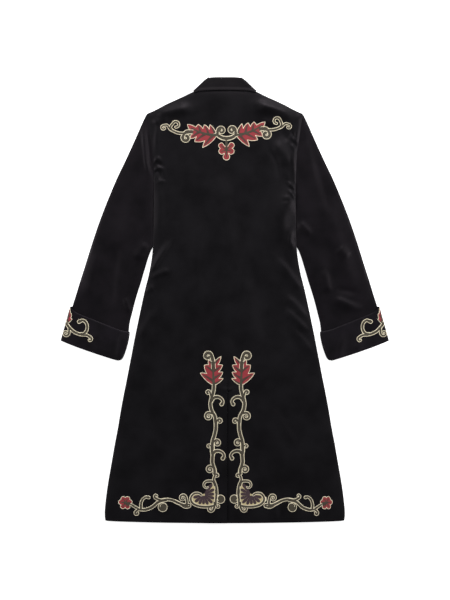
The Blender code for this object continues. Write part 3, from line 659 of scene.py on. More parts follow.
collarShape = dict(
    back=(((0, 588.6), (0, 561), (0, 556.6)), ((14, 588.6), (22, 561), (24, 556.3)),
          ((28, 588.6), (46, 561), (51, 555.2)), ((38, 588.0), (62, 561.1), (69, 553.6))),
    crease=((42.6, 587.3), (69.4, 561.2), (80.4, 550.8)),
    outward=(0.688, 0.726),
    front=(((40.4, 565), (68.4, 548.2), (76, 542)), ((34, 533), (59.2, 514.9), (66, 509.5)),
           ((20.5, 506.5), (42.1, 485.2), (47.5, 479)), ((6, 490.5), (22.6, 466), (27, 459.5))),
)


def collarStations():
    back = smoothLine(np.array(collarShape["back"]).reshape(-1, 6), 5)
    front = np.vstack([np.ravel(collarShape["crease"])[None], np.array(collarShape["front"]).reshape(-1, 6)])
    front = smoothLine(front, 6)[1:]
    stations = [(row.reshape(3, 2), 0.0, np.zeros(2)) for row in back]
    outward = np.array(collarShape["outward"])
    crease = np.array(collarShape["crease"])
    stations += [(crease, turn, outward) for turn in np.linspace(0, 180, 13)]
    return stations + [(row.reshape(3, 2), 180.0, np.zeros(2)) for row in front]


def collarPanel():
    # The strip turns over at the crease on each side, so that its front ends lie under the neck.
    outer, layer = cloth["outer"], cloth["layer"]
    middle, reach = (outer + layer) / 2, (outer - layer) / 2
    right = []
    for (roll, sewn, free), turn, outward in collarStations():
        angle = math.radians(turn)
        away = unit(roll - sewn)
        section = [(sewn + (roll - sewn) * part, layer) for part in np.linspace(0, 1, 8)]
        section += [(roll + away * reach * math.sin(bend), middle - reach * math.cos(bend))
                    for bend in np.linspace(0, math.pi, 9)[1:]]
        # The free edge of the fall lifts a little behind the neck.
        curl = 1.3 * max(math.cos(angle), 0.0)
        section += [(roll + (free - roll) * part, outer + curl * float(smoothStep(0.72, 0.97, part)))
                    for part in (0.12, 0.25, 0.38, 0.5, 0.62, 0.72, 0.8, 0.87, 0.93, 1.0)]
        # The turn at the crease is tighter close to the roll than at the two edges.
        pinch = [0.55 + 0.45 * min(1.0, np.hypot(*(place - roll)) / 12.0) for place, _ in section]
        right.append([(*(place + outward * height * math.sin(angle) * tight),
                       cloth["highMiddle"] + height * math.cos(angle))
                      for (place, height), tight in zip(section, pinch)])
    left = [[(-x, y, z) for x, y, z in section] for section in right[:0:-1]]
    return np.array(left + right)


# Materials

def linear(hexColour):
    # From an sRGB hex code to the linear values that a shader takes.
    channels = [int(hexColour[start:start + 2], 16) / 255 for start in (1, 3, 5)]
    return *(value / 12.92 if value <= 0.04045 else ((value + 0.055) / 1.055) ** 2.4 for value in channels), 1.0


def addNode(tree, kind, settings=None, links=None):
    # Adds a node with its settings, and links of the form {input: (node, output)}.
    node = tree.nodes.new(kind)
    for name, value in (settings or {}).items():
        if name in node.inputs:
            node.inputs[name].default_value = value
        else:
            setattr(node, name, value)
    for name, (source, output) in (links or {}).items():
        tree.links.new(source.outputs[output], node.inputs[name])
    return node


def newMaterial(name, settings):
    material = bpy.data.materials.new(name)
    material.use_nodes = True
    shader = material.node_tree.nodes["Principled BSDF"]
    for key, value in settings.items():
        shader.inputs[key].default_value = value
    return material, material.node_tree, shader


def noise(tree, scale, detail, roughness=0.5):
    place = addNode(tree, "ShaderNodeTexCoord")
    return addNode(tree, "ShaderNodeTexNoise", {"Scale": scale, "Detail": detail, "Roughness": roughness},
                   {"Vector": (place, "Object")})


def mixColours(tree, shader, amount, low, high):
    mixed = addNode(tree, "ShaderNodeMix", {"data_type": "RGBA"})
    tree.links.new(amount, mixed.inputs[0])
    mixed.inputs[6].default_value, mixed.inputs[7].default_value = linear(low), linear(high)
    tree.links.new(mixed.outputs[2], shader.inputs["Base Color"])


def relieve(tree, shader, height, strength, distance):
    bump = addNode(tree, "ShaderNodeBump", {"Strength": strength, "Distance": distance},
                   {"Height": (height, "Fac")})
    tree.links.new(bump.outputs["Normal"], shader.inputs["Normal"])


def velvetMaterial(name, colour, brushedColour, sheenTint):
    # Black cotton velvet: light dies in the upright pile and only its slopes shine softly. A fine grain
    # stands for the pile, and slow patches of tone and gloss show where it is brushed.
    material, tree, shader = newMaterial(name, {
        "Base Color": linear(colour), "Roughness": 0.54, "Specular IOR Level": 0.15,
        "Sheen Weight": 0.14, "Sheen Roughness": 0.4, "Sheen Tint": linear(sheenTint),
        "Specular Tint": linear("#fff0fc")})
    relieve(tree, shader, noise(tree, 1400.0, 2.0), 0.25, 0.0005)
    brushed = {"Value": (noise(tree, 16.0, 3.0, 0.6), "Fac")}
    tone = addNode(tree, "ShaderNodeMapRange", {"From Min": 0.35, "From Max": 0.65}, brushed)
    mixColours(tree, shader, tone.outputs["Result"], colour, brushedColour)
    gloss = addNode(tree, "ShaderNodeMapRange",
                    {"From Min": 0.3, "From Max": 0.7, "To Min": 0.46, "To Max": 0.6}, brushed)
    tree.links.new(gloss.outputs["Result"], shader.inputs["Roughness"])
    return material


def threadMaterial(name, colour, shade, pitch, twist):
    # Cotton or silk thread laid side by side: stripes along the stitch give its glint and grooves.
    material, tree, shader = newMaterial(name, {
        "Base Color": linear(colour), "Roughness": 0.6, "Specular IOR Level": 0.35, "Sheen Weight": 0.15})
    mixColours(tree, shader, noise(tree, 90.0, 2.0).outputs["Fac"], shade, colour)
    place = addNode(tree, "ShaderNodeUVMap", {"uv_map": "stitch"})
    stripes = addNode(tree, "ShaderNodeTexWave", {
        "wave_type": "BANDS", "bands_direction": twist, "Scale": 1.0 / pitch, "Distortion": 0.6,
        "Detail": 1.0, "Detail Scale": 2.0}, {"Vector": (place, "UV")})
    relieve(tree, shader, stripes, 0.5, 0.0003)
    return material


# Velvet: base colour, the lighter colour where its pile is brushed, and the tint of its sheen. The cuff and
# collar copies get lighter colours than the body's as painted sheen, for the soft light that their raised
# velvet catches.
velvets = {part: velvetMaterial("black_cotton_velvet_" + part, *colours) for part, colours in dict(
    body=("#030405", "#090a0c", "#908890"),
    sleeve=("#040406", "#0b090d", "#94868f"),
    cuff=("#060608", "#0f0d12", "#94868f"),
    collar=("#070708", "#100f11", "#929092"),
).items()}
# Thread: its colour, its darker shade, the width of a stitch in metres and the way the stitches run
threads = dict(
    cord=threadMaterial("cream_cotton_chain_stitch", "#f6ecd2", "#e2d6b4", 0.0022, "X"),
    stem=threadMaterial("olive_silk_satin_stitch", "#494233", "#352f24", 0.0008, "X"),
    red=threadMaterial("red_silk_satin_stitch", "#a0333a", "#84262d", 0.0008, "Y"),
    crimson=threadMaterial("crimson_silk_satin_stitch", "#5e2229", "#4a1b22", 0.0008, "Y"),
    ground=threadMaterial("cream_silk_satin_stitch", "#cdbf93", "#b5a57a", 0.0008, "X"),
    plum=threadMaterial("plum_silk_satin_stitch", "#432f36", "#34242a", 0.0008, "X"),
)
print("materials ready")


# Cloth pieces

def addObject(name, data):
    item = bpy.data.objects.new(name, data)
    bpy.context.scene.collection.objects.link(item)
    return item


def clothPiece(key, grid, material):
    # A sheet along the middle of the cloth, thickened to a shell.
    name = "velvet_" + key
    rows, columns = grid.shape[:2]
    index = np.arange(rows * columns).reshape(rows, columns)
    faces = np.stack([index[:-1, :-1], index[:-1, 1:], index[1:, 1:], index[1:, :-1]], axis=-1).reshape(-1, 4)
    sheet = bpy.data.meshes.new(name + "_sheet")
    sheet.from_pydata((grid.reshape(-1, 3) * millimetre).tolist(), [], faces.tolist())
    piece = addObject(name, sheet)
    wall = piece.modifiers.new("wall", "SOLIDIFY")
    wall.thickness, wall.offset, wall.use_rim = cloth["wall"] * millimetre, 0.0, True
    mesh = bpy.data.meshes.new_from_object(piece.evaluated_get(bpy.context.evaluated_depsgraph_get()))
    piece.modifiers.clear()
    piece.data = mesh
    mesh.shade_smooth()
    mesh.set_sharp_from_angle(angle=math.radians(50))
    mesh.materials.clear()
    mesh.materials.append(material)
    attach(piece, "root")
    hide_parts(key)
    print(name, rows, columns)
    return piece


sides = (("left", -1.0), ("right", 1.0))
panels = dict(back=(backPanel, "body"), front=(frontPanel, "body"),
              sleeve=(sleevePanel, "sleeve"), cuff=(cuffPanel, "cuff"))
pieces = {}
for word, side in sides:
    for part, (panel, velvet) in panels.items():
        key = part + "_" + word
        pieces[key] = clothPiece(key, panel(side), velvets[velvet])
pieces["collar"] = clothPiece("collar", collarPanel(), velvets["collar"])


# Embroidery
# Scrolls, leaves and rosettes of a traditional kind, each drawn by function from a few points in millimetres.
# A scroll is a stem of olive satin stitch between two cream cords that ends in a spiral.

stitch = dict(
    cordHalf=0.82,         # cream cord, half its width
    cordCrown=0.5,
    stemHalf=5.3,          # a whole scroll with its cords, half its width
    fillCrown=0.42,
    fillBase=0.18,         # the fill of a scroll lies this high between its cords
    fillOverlap=0.3,       # and runs this far under each
    least=0.6,             # half width that a fill keeps
    rise=0.004,            # each band over the one before, so that no two share a plane
    step=1.3,              # spacing along a stem
    fillStep=3.2,          # spacing of the points inside a filled shape
    fillClear=1.0,         # from its outline to the first of them
)
crossSection = ((-1.0, 0.0), (-0.66, 0.72), (0.0, 1.0), (0.66, 0.72), (1.0, 0.0))
threadOrder = ("cord", "stem", "red", "crimson", "ground", "plum")


def newWork():
    return dict(points=[], faces=[], slots=[], marks=[], lift=0.0)


def strip(work, course, widths, crown, thread, base=0.0, closed=False):
    # A low rounded ridge of thread along a course. Its half widths are one number, a pair for its start
    # and end, or one for each point.
    if closed:
        forward = np.roll(course, -1, axis=0) - np.roll(course, 1, axis=0)
    else:
        forward = np.gradient(course, axis=0)
    forward /= np.maximum(np.hypot(forward[:, 0], forward[:, 1]), 1e-6)[:, None]
    normals = leftOf(forward)
    widths = np.linspace(*widths, len(course)) if np.size(widths) == 2 else np.broadcast_to(widths, len(course))
    reach = lengthsAlong(course)
    start, count = len(work["points"]), len(crossSection)
    for spot, normal, half, along in zip(course, normals, widths, reach):
        for across, rise in crossSection:
            place = spot + normal * across * half
            work["points"].append((place[0], place[1], work["lift"] + base + crown * rise))
            work["marks"].append((along * millimetre, across * half * millimetre))
    last = len(course) if closed else len(course) - 1
    for row in range(last):
        here, there = start + row * count, start + (row + 1) % len(course) * count
        for column in range(count - 1):
            work["faces"].append((here + column, there + column, there + column + 1, here + column + 1))
            work["slots"].append(threadOrder.index(thread))


def cord(work, course, share=1.0, base=0.0, closed=False):
    strip(work, course, stitch["cordHalf"] * share, stitch["cordCrown"], "cord", base, closed)


def cordRound(work, points):
    cord(work, resample(np.vstack([points, points[:1]]), stitch["step"])[:-1], closed=True)


def insidePolygon(polygon, spots):
    x, y = spots[:, :1], spots[:, 1:]
    x0, y0 = polygon.T
    x1, y1 = np.roll(x0, -1), np.roll(y0, -1)
    crossing = ((y0 > y) != (y1 > y)) & (x < (x1 - x0) * (y - y0) / np.where(y1 == y0, 1e-9, y1 - y0) + x0)
    return crossing.sum(axis=1) % 2 == 1


def filledShape(work, polygon, height, thread, direction):
    # Its own outline and a grid of points inside it, so that it follows the cloth.
    low, high = polygon.min(axis=0), polygon.max(axis=0)
    grid = np.stack(np.meshgrid(*(np.arange(low[axis], high[axis], stitch["fillStep"]) for axis in (0, 1))),
                    axis=-1).reshape(-1, 2)
    gap = np.sqrt(((grid[:, None, :] - polygon[None, :, :]) ** 2).sum(axis=2)).min(axis=1)
    inner = grid[insidePolygon(polygon, grid) & (gap > stitch["fillClear"])]
    spots = [Vector(spot) for spot in np.vstack([polygon, inner])]
    ring = [(number, (number + 1) % len(polygon)) for number in range(len(polygon))]
    corners, _, triangles, *_ = delaunay_2d_cdt(spots, ring, [], 1, 1e-5)
    start = len(work["points"])
    along, across = math.cos(direction), math.sin(direction)
    for corner in corners:
        work["points"].append((corner[0], corner[1], work["lift"] + height))
        work["marks"].append(((corner[0] * along + corner[1] * across) * millimetre,
                              (corner[1] * along - corner[0] * across) * millimetre))
    for triangle in triangles:
        work["faces"].append(tuple(start + corner for corner in triangle))
        work["slots"].append(threadOrder.index(thread))


def offsetLine(course, distances):
    return course + outwardNormals(course, 1.0) * np.asarray(distances)[:, None]


def roundEnd(course, half):
    # Half circle from the left side of a course round its end to the right side.
    forward = unit(course[-1] - course[-2])
    left = leftOf(forward)
    turns = np.linspace(0, math.pi, 7)[1:-1]
    return np.array([course[-1] + half * (left * math.cos(turn) + forward * math.sin(turn)) for turn in turns])


def spiral(entry, centre, radius, turn, sweep, half, inner):
    # Points from where a line from the entry touches the outer circle, round and inward to the end.
    centre, entry = np.array(centre, dtype=float), np.array(entry, dtype=float)
    outer = max(radius - half, radius * 0.45)
    away = entry - centre
    distance = max(np.hypot(*away), outer * 1.02)
    start = math.atan2(away[1], away[0]) + turn * math.acos(outer / distance)
    parts = np.linspace(0, 1, max(10, int(sweep / 14)))
    radii = outer + (radius * inner - outer) * parts ** 1.1
    angles = start + turn * np.radians(sweep) * parts
    return centre + np.column_stack([np.cos(angles), np.sin(angles)]) * radii[:, None]


def band(work, line, widths, layer):
    # A stem between two cords; the cords meet round its end.
    reach = lengthsAlong(line)
    parts = evenParts(reach[-1], stitch["step"])
    course, half = sample(line, parts), np.interp(parts, reach / reach[-1], widths)
    work["lift"] += stitch["rise"]
    if layer == "cord":
        place = half - stitch["cordHalf"]
        path = np.vstack([offsetLine(course, place), roundEnd(course, place[-1]),
                          offsetLine(course, -place)[::-1]])
        cord(work, resample(path, stitch["step"]))
    else:
        inner = half[-1] - 2 * stitch["cordHalf"]
        course = np.vstack([course, roundEnd(course, inner)[2]])
        fill = np.maximum(half - 2 * stitch["cordHalf"] + stitch["fillOverlap"], stitch["least"])
        strip(work, course, np.append(fill, stitch["least"]), stitch["fillCrown"], "stem", stitch["fillBase"])


def scroll(course, curl, turn, sweep, half=stitch["stemHalf"], bud=0.0):
    # curl: its centre and outer radius; turn: +1 counterclockwise, -1 clockwise. Narrows towards its end,
    # or keeps its width and ends in a round bud. The spiral has the half widths first and last at its ends,
    # and closes to the share inner of its radius.
    x, y, radius = curl
    if radius > 9:
        first, last, inner = half * 0.86, half * 0.52, 0.22
    else:
        first, last, inner = min(half, radius * 0.46), radius * 0.46, 0.3
    if bud:
        first, last, inner = half * 0.86, half * 0.84, bud
    rounds = spiral(course[-1], (x, y), radius, turn, sweep, first, inner)
    stem = smoothLine(np.vstack([course, rounds[:2]]), 10)[:-11]    # up to where the spiral begins
    widths = np.concatenate([np.linspace(half, first, len(stem)), np.linspace(first, last, len(rounds))])
    return np.vstack([stem, rounds]), widths


def hook(course, widths):
    # A branch through a few points, with a half width at each, that ends in a round knob.
    line = smoothLine(course, 10)
    return line, np.interp(np.linspace(0, 1, len(line)), np.linspace(0, 1, len(widths)), widths)


def scrollWork(work, scrolls):
    # All cords first, then all fills over them, so that branches grow out of a stem without a line between.
    for layer in ("cord", "stem"):
        for line, widths in scrolls:
            band(work, line, widths, layer)


def bow(start, end, bulge, count=7):
    start, end = np.array(start, dtype=float), np.array(end, dtype=float)
    middle = (start + end) / 2 + leftOf(end - start) * bulge
    parts = np.linspace(0, 1, count)[:, None]
    return (1 - parts) ** 2 * start + 2 * parts * (1 - parts) * middle + parts ** 2 * end


def leafSide(rib, tips, last, side, depth):
    # One jagged edge of a leaf from the foot of its rib through its tips to its last point. Each notch runs
    # back towards the foot, so that the lobes rise.
    edge, veins = [rib[0]], []
    here, passed = rib[0], 0
    for number, tip in enumerate(tips):
        before = here
        edge += list(bow(here, tip, 0.16 * side))[1:]
        following = tips[number + 1] if number + 1 < len(tips) else last
        between = np.array(tip) + (np.array(following) - np.array(tip)) * 0.16
        level = nearestOn(rib, between)
        foot = rib[max(level - int(0.3 * (level - passed)), 0)]
        here, passed = between + (foot - between) * depth, level
        edge += list(bow(tip, here, 0.10 * side))[1:]
        middle = nearestOn(rib, (before + here) / 2)
        veins.append((rib[max(middle - 3, 0)], tip))
    edge += list(bow(here, last, 0.15 * side))[1:]
    return edge, veins


def acanthus(work, ribCourse, leftTips, rightTips, last, ribHalf, depth, veinShare=1.0):
    rib = smoothLine(ribCourse, 10)
    leftEdge, leftVeins = leafSide(rib, leftTips, last, 1.0, depth)
    rightEdge, rightVeins = leafSide(rib, rightTips, last, -1.0, depth)
    edge = np.array(leftEdge + rightEdge[-2:0:-1])
    filledShape(work, edge, 0.2, "red", 0.6)
    for start, tip in leftVeins + rightVeins:
        vein = bow(start, start + (tip - start) * 0.8, 0.06, 9)
        strip(work, vein, np.linspace(3.8, 1.5, len(vein)) * veinShare, 0.1, "crimson", base=0.2)
        strip(work, vein, np.linspace(2.2, 0.8, len(vein)) * veinShare, 0.15, "stem", base=0.24)
    cordRound(work, edge)
    strip(work, resample(rib, stitch["step"]), (ribHalf, ribHalf * 0.35), 0.25, "stem", base=0.3)


def waysRound(angles):
    return np.column_stack([np.cos(angles), np.sin(angles)])


def lobedShape(centre, lobes):
    # Outline of circles joined round a centre: each lobe is its centre and radius.
    ways = waysRound(np.linspace(0, 2 * math.pi, 90, endpoint=False))
    reach = np.zeros(len(ways))
    for x, y, radius in lobes:
        away = np.array([x, y]) - centre
        along = ways @ away
        inside = radius ** 2 - (away @ away) + along ** 2
        reach = np.where(inside > 0, np.maximum(reach, along + np.sqrt(np.maximum(inside, 0))), reach)
    return centre + ways * reach[:, None]


def lobedLeaf(work, centre, lobes, stemCourse, heart):
    edge = lobedShape(centre, lobes)
    filledShape(work, edge, 0.2, "red", 1.1)
    for x, y, _ in lobes:
        tip = np.array([x, y])
        if math.dist(tip, centre) > 3:
            strip(work, bow(centre, tip + (tip - centre) * 0.12, 0.05, 8), (1.9, 0.9), 0.25, "stem", base=0.2)
    cordRound(work, edge)
    strip(work, spacedLine(stemCourse, 8, stitch["step"]), (heart, heart * 0.5), 0.3, "stem", base=0.3)


def ball(work, centre, radius, opening):
    # A round bud: a disc of olive stitch in a ring of cord, with a short curl of cord at its opening.
    ring = centre + waysRound(np.linspace(0, 2 * math.pi, 40, endpoint=False)) * (radius - stitch["cordHalf"])
    filledShape(work, ring, 0.25, "stem", 0.4)
    cord(work, ring, closed=True)
    radii = np.linspace(radius * 0.86, radius * 0.5, 14)
    curl = centre + waysRound(opening - np.linspace(0, 1.9, 14)) * radii[:, None]
    cord(work, resample(curl, stitch["step"]), 0.8, 0.05)


def heartFan(work):
    # The heart at the foot of a column: cream satin with a fan of plum petals inside two curling bands.
    ground = smoothLine(((36, -484), (32, -498), (30.5, -518), (34.5, -538), (50, -544.5), (72, -544),
                         (88, -538.5), (93.5, -527), (89, -516), (78, -512.5), (66, -514.5), (58, -508),
                         (53, -498), (46, -490), (38, -483)), 6)
    filledShape(work, ground, 0.12, "ground", 0.8)
    focus, first, clear = np.array([62.5, -515.0]), 3.0, 4.6
    parts = np.linspace(0, 1, 18)
    for way in waysRound(np.radians(np.linspace(128, 344, 10))):
        along = (ground - focus) @ way
        off = np.abs((ground - focus) @ leftOf(way))
        length = np.where((along > 0) & (off < 5), along, 0).max() - clear
        line = focus + way * np.linspace(first, length, len(parts))[:, None]
        # a petal widens away from the focus and has a round tip
        spread = (first + (length - first) * parts) * 0.19
        widths = np.minimum(spread, 3.9) * np.sqrt(np.clip((1.02 - parts) / 0.16, 0, 1)) + 0.25
        strip(work, line, widths, 0.2, "plum", base=0.16)


def columnWork(work):
    # One side of the vent, in distance from the mirror line between the two and height.
    stem = [(35.5, -222), (37, -240), (43, -262), (45, -276), (42, -292), (34.2, -306), (31.5, -322),
            (31, -340), (34, -356), (38.8, -372), (40.8, -390), (39.5, -411.7), (40, -430), (35, -447),
            (34, -460)]
    knob = (5.3, 5.3, 4.9, 4.2, 3.9, 5.6)
    heartFan(work)
    ball(work, (18.3, -526.7), 11.9, 1.2)
    scrollWork(work, [
        scroll([(37, -182), (37.5, -172), (38.5, -160)], (51.6, -147.7, 14.6), -1, 300, half=6.4, bud=0.34),
        scroll([(40, -268), (43, -254)], (51.1, -244.2, 8.4), -1, 250),
        hook([(45, -272), (38, -260), (27, -256), (16.5, -260.5), (12.0, -268.5), (15.4, -275.5)], knob),
        scroll([(32, -312), (37, -301)], (49.6, -307.5, 13.8), -1, 440),
        scroll([(31, -338), (29.5, -322)], (20.9, -320.3, 10), 1, 340),
        scroll([(39, -396), (38.5, -378)], (27.6, -378, 12.5), 1, 430),
        scroll([(41, -402), (42.5, -388)], (49, -386.5, 7.2), -1, 250),
        hook([(40, -416), (36, -403), (25.5, -399), (14, -403), (8.8, -411.5), (12.3, -419)], knob),
        scroll([(33, -456), (35, -445)], (46.1, -448, 13), -1, 430),
        scroll([(31, -530), (28.4, -510.2), (31, -490), (36.5, -475)], (28.4, -464, 8), 1, 250, half=4.6),
        scroll([(33, -492), (38, -480)], (53.2, -491.5, 16.4), -1, 215, half=4.4),
        hook([(30.5, -500), (30, -526), (34, -543), (62, -547), (83, -543), (95, -534), (96.5, -522),
              (88, -512.5), (76, -511.5), (69, -516)], (4.2, 4.2, 4.2, 4.2, 4.2, 4.2, 3.8, 3.8, 3.4, 3.6)),
        scroll([(34, -534), (34, -545)], (44.5, -552, 11.5), 1, 400, half=4.6),
        scroll([(31, -526), (30.5, -538)], (25, -545.5, 6.8), -1, 250, half=4.0),
        hook(stem, (stitch["stemHalf"], stitch["stemHalf"])),
    ])
    acanthus(work, [(36.3, -226), (37, -205), (38, -182), (40, -164)],
             [(11.1, -207.5), (12.2, -191), (13, -172), (17, -149)],
             [(72, -193), (61, -172), (50, -158)], (38, -163), ribHalf=4.0, depth=0.48)


def hemVine(work):
    ball(work, (171.5, -548.2), 12.7, 2.0)
    scrollWork(work, [
        scroll([(141, -532), (124, -540), (108, -541)], (118.2, -524, 13), -1, 420, half=4.8),
        scroll([(124, -541), (112, -548)], (103, -543.5, 7.8), -1, 250, half=4.2),
        scroll([(103, -548), (121, -541), (141, -531.5), (160, -527.5), (178, -529.5)],
               (188.5, -519, 9.2), 1, 250, half=4.8),
        hook([(229, -554), (229, -540), (224.5, -528), (216, -521.5), (208.5, -522.5)],
             (4.6, 4.4, 4.0, 3.6, 4.8)),
        scroll([(222, -554), (236, -555)], (240.5, -564, 8.4), -1, 250, half=4.2),
        hook([(160, -528.5), (182, -534), (203, -550), (229, -555), (256, -541)], (4.8, 4.8, 4.8, 4.4, 3.6)),
    ])
    lobes = [(270.3 + 11.8 * math.cos(turn), -536.8 + 11.4 * math.sin(turn), 6.4)
             for turn in np.radians((8, 62, 118, 172, 240, 304))] + [(270.3, -536.8, 8)]
    lobedLeaf(work, (270.3, -536.8), lobes, [(258, -541), (273, -536.2)], heart=5.0)


def upperHalf(work, sizes):
    # Outward from the middle of the upper back.
    leaf = sizes["leaf"]
    scrollWork(work, [
        scroll([(-2, 427.5), (12, 430), (24, 438)], sizes["volute"], 1, 420, half=6.4),
        scroll(sizes["branch"], sizes["rounds"], -1, 300, half=6.2, bud=0.34),
        scroll(sizes["tendril"], sizes["far"], 1, 245, half=4.4, bud=0.5),
        scroll(sizes["end"], sizes["curl"], -1, 235, half=4.0, bud=0.42),
        hook([(-2, 427.5), (12, 430), (22, 436), (32, 438)], (6.0, 5.4, 4.6, 3.6)),
    ])
    acanthus(work, leaf["rib"], leaf["upper"], leaf["lower"], leaf["last"], ribHalf=4.2, depth=0.5)


# The two sides of the upper back, which differ a little in the photo
upperSizes = {
    1.0: dict(
        volute=(14, 450, 14), rounds=(105.3, 438.7, 14.5), far=(133, 474, 13), curl=(164.6, 459.9, 9),
        branch=[(86, 452), (96, 454.5), (106, 453)],
        tendril=[(92, 452), (117.7, 450.9), (136, 455), (146, 464)],
        end=[(134, 454), (146, 459), (155, 467)],
        leaf=dict(rib=[(25, 437), (45, 440), (72, 450), (95, 463)],
                  upper=[(40.5, 466.8), (56.5, 469.3), (72.5, 471.7)],
                  lower=[(60.2, 406.6), (82.3, 424.5), (95, 434.5)], last=(102, 471.7))),
    -1.0: dict(
        volute=(14, 449, 14), rounds=(107.8, 429.8, 14.5), far=(134, 464.5, 12.5), curl=(167.1, 457, 9),
        branch=[(88, 445), (98, 446), (108, 444.5)],
        tendril=[(94, 444), (120.8, 441.6), (139, 447), (149, 457)],
        end=[(136, 446), (149, 452), (157, 463)],
        leaf=dict(rib=[(25, 437), (45, 438), (72, 445), (94, 456)],
                  upper=[(43.9, 464.5), (58.2, 464.5), (75.1, 465)],
                  lower=[(63.5, 403.7), (84.7, 419.5), (96.6, 428)], last=(103.8, 465.4))),
}


def pendant(work):
    lobes = [(-9.8, 409, 7.2), (-8.6, 394.3, 8), (3.7, 380, 9), (16, 394.3, 8), (17.2, 410, 7.2),
             (3.7, 398, 10)]
    lobedLeaf(work, (3.7, 398), lobes, [(3.7, 424), (3.7, 408), (3.7, 386)], heart=3.6)


def cuffWork(work):
    scrollWork(work, [
        scroll([(428, -50), (418, -64), (402, -82), (382, -91), (366, -92.5)],
               (357.8, -104, 10.2), 1, 235, half=4.8),
        hook([(388, -90), (372, -88), (364.5, -76), (366, -62), (375, -53.5), (386, -57)],
             (4.8, 4.4, 4.4, 4.4, 4.2, 5.6)),
        scroll([(420, -62), (412, -74)], (420.5, -87, 12), 1, 400, half=4.6),
    ])
    acanthus(work, [(416.5, -62), (415, -44), (412, -26)], [(404.5, -50), (406, -36)], [(425, -50), (421, -36)],
             (411.5, -20), ribHalf=2.0, depth=0.3, veinShare=0.6)


# Where the embroidery lies

def clothTree(*names):
    points, faces = [], []
    for name in names:
        mesh, start = pieces[name].data, len(points)
        points += [vertex.co.copy() for vertex in mesh.vertices]
        faces += [[start + corner for corner in face.vertices] for face in mesh.polygons]
    return BVHTree.FromPolygons(points, faces)


def topOf(tree, x, y):
    # Height of the uppermost cloth. Where a ray may slip through a seam it looks to each side as well, and
    # takes what it finds there if that is 1 mm higher.
    rayStart, lowestTop, upperLayer = 0.1, 4.0, 3.6
    best = None
    for shift in (0.0, 0.7, -0.7, 1.4, -1.4):
        start = Vector(((x + shift) * millimetre, y * millimetre, rayStart))
        hit = tree.ray_cast(start, Vector((0, 0, -1)))[0]
        if hit is None:
            continue
        height = hit.z / millimetre
        if best is None or height > best + 1.0:
            best = height
        if shift == 0.0 and height > upperLayer:
            break
    return best if best is not None else lowestTop


def onCloth(tree):
    def place(x, y, lift):
        return x, y, topOf(tree, x, y) + lift
    return place


def onCuff(tree, side):
    # Near the outer fold the pattern turns with the cloth and runs on a little way below it. From the sine
    # steep on, what is left of the way runs on round the fold, to the angle furthest.
    edge = smoothLine(outline["cuffOutside"], 8)
    edge = np.vstack([edge[0] + (edge[0] - edge[1]) * 4, edge, edge[-1] + (edge[-1] - edge[-2]) * 4])
    run = np.diff(edge, axis=0)
    radius, steep, furthest = cloth["outer"] + cloth["wall"] / 2, 0.94, 2.1

    def place(x, y, lift):
        away = np.abs(x)
        part = ((away - edge[:-1, 0]) * run[:, 0] + (y - edge[:-1, 1]) * run[:, 1]) / (run ** 2).sum(axis=1)
        foot = edge[:-1] + run * np.clip(part, 0, 1)[:, None]
        spot = int(np.hypot(away - foot[:, 0], y - foot[:, 1]).argmin())
        outward = unit(leftOf(run[spot]))
        if outward[0] < 0:
            outward = -outward
        inset = -((away - foot[spot, 0]) * outward[0] + (y - foot[spot, 1]) * outward[1])
        if inset > cloth["turnedInset"]:
            return x, y, topOf(tree, x, y) + lift
        reach = cloth["turnedInset"] - inset
        if reach < radius * steep:
            angle = math.asin(reach / radius)
        else:
            angle = min(math.asin(steep) + (reach - radius * steep) / radius, furthest)
        at = foot[spot] + outward * (-cloth["turnedInset"] + (radius + lift) * math.sin(angle))
        return side * at[0], at[1], cloth["highMiddle"] + (radius + lift) * math.cos(angle)
    return place


def buildEmbroidery(key, work, side, place):
    # Lays the flat work on the cloth as one mesh with its stitch direction as a UV map.
    name, middle = "scroll_embroidery_" + key, middles[key.split("_")[0]]
    points = [place(middle + side * x, y, lift) for x, y, lift in work["points"]]
    mesh = bpy.data.meshes.new(name)
    faces = [face[::-1] for face in work["faces"]] if side < 0 else work["faces"]
    mesh.from_pydata((np.array(points) * millimetre).tolist(), [], faces)
    mesh.update()
    for word in threadOrder:
        mesh.materials.append(threads[word])
    mesh.polygons.foreach_set("material_index", work["slots"])
    corners = np.zeros(len(mesh.loops), dtype=np.int32)
    mesh.loops.foreach_get("vertex_index", corners)
    mesh.uv_layers.new(name="stitch").data.foreach_set("uv", np.array(work["marks"])[corners].ravel())
    mesh.shade_smooth()
    piece = addObject(name, mesh)
    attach(piece, "root")
    print(name, len(points), "points")


def stretchHem(x):
    # The vine on the right reaches a little less far out than the one on the left.
    return x * (1.02 - 0.05 * (x - 118) / 152) if x > 100 else x


middles = dict(vent=6.9, pendant=0.6, upper=4.7, cuff=0.0)    # x of the line from which each is drawn
onBack = onCloth(clothTree("back_left", "back_right"))
for word, side in sides:
    work = newWork()
    columnWork(work)
    hemVine(work)
    if side > 0:
        work["points"] = [(stretchHem(x), y, lift) for x, y, lift in work["points"]]
    buildEmbroidery("vent_" + word, work, side, onBack)

work = newWork()
pendant(work)
buildEmbroidery("pendant", work, 1.0, onBack)
for word, side in sides:
    work = newWork()
    work["lift"] = 0.06 if side > 0 else 0.0    # where the two volutes touch, the right one lies over the left
    upperHalf(work, upperSizes[side])
    buildEmbroidery("upper_" + word, work, side, onBack)

for word, side in sides:
    work = newWork()
    cuffWork(work)
    buildEmbroidery("cuff_" + word, work, side, onCuff(clothTree("cuff_" + word), side))
print("embroidery ready")


# Studio

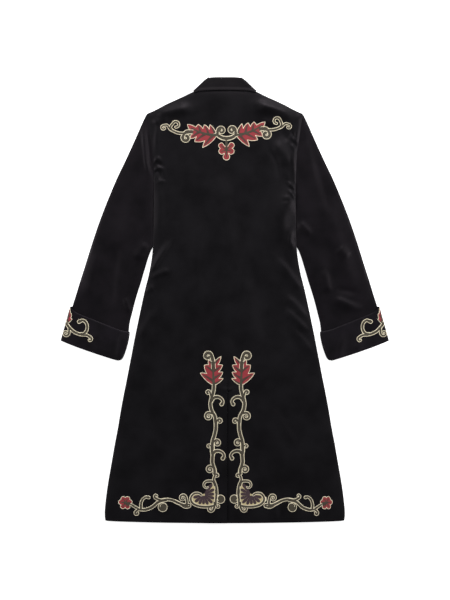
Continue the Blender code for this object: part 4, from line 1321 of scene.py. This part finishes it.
studioLook = dict(
    floorHalf=40.0,
    floorDrop=0.0005,
    glow=0.82,             # of the table, which stays as white as the ground of the photo
    world=0.25,
    lampSize=1.2,
    # low lamps on three sides, so that folds catch light on their slopes
    lamps=dict(key=((0.3, 2.7, 1.5), 77.0), left=((-2.4, 0.5, 1.0), 37.0), right=((2.4, 0.3, 1.0), 43.0)),
)


def studio():
    floor, half = bpy.data.meshes.new("floor"), studioLook["floorHalf"]
    corners = [(-half, -half, 0), (half, -half, 0), (half, half, 0), (-half, half, 0)]
    floor.from_pydata(corners, [], [(0, 1, 2, 3)])
    ground = addObject("floor", floor)
    ground.location.z = -studioLook["floorDrop"]
    # A matt white table lit from within: it gives a white ground without shadows, as in a cut-out.
    material, _, _ = newMaterial("white_light_table", {
        "Base Color": (0.8, 0.8, 0.8, 1), "Roughness": 0.9, "Specular IOR Level": 0.0,
        "Emission Color": (1, 1, 1, 1), "Emission Strength": studioLook["glow"]})
    floor.materials.append(material)
    world = bpy.data.worlds.new("studio")
    world.use_nodes = True
    background = world.node_tree.nodes["Background"]
    background.inputs["Color"].default_value = (1, 1, 1, 1)
    background.inputs["Strength"].default_value = studioLook["world"]
    bpy.context.scene.world = world
    for name, (place, power) in studioLook["lamps"].items():
        lamp = bpy.data.lights.new(name, "AREA")
        lamp.shape, lamp.size, lamp.energy = "SQUARE", studioLook["lampSize"], power
        item = addObject(name, lamp)
        item.location = place
        item.rotation_euler = (-Vector(place)).to_track_quat("-Z", "Y").to_euler()
    bpy.context.scene.view_settings.view_transform = "Standard"


def camera():
    # Straight above, at the photo's scale of 2.65 mm a pixel over 600 pixels of height.
    distance, pictureHeight = 4.5, 1.590
    view = bpy.data.cameras.new("camera")
    view.sensor_fit, view.sensor_width = "AUTO", 36.0
    view.lens = view.sensor_width * distance / pictureHeight
    item = addObject("camera", view)
    item.location = (0.0005, 0.0004, distance + 0.005)    # off the middle as the coat is in the photo
    bpy.context.scene.camera = item


studio()
camera()
print("studio ready")

print("coat finished")
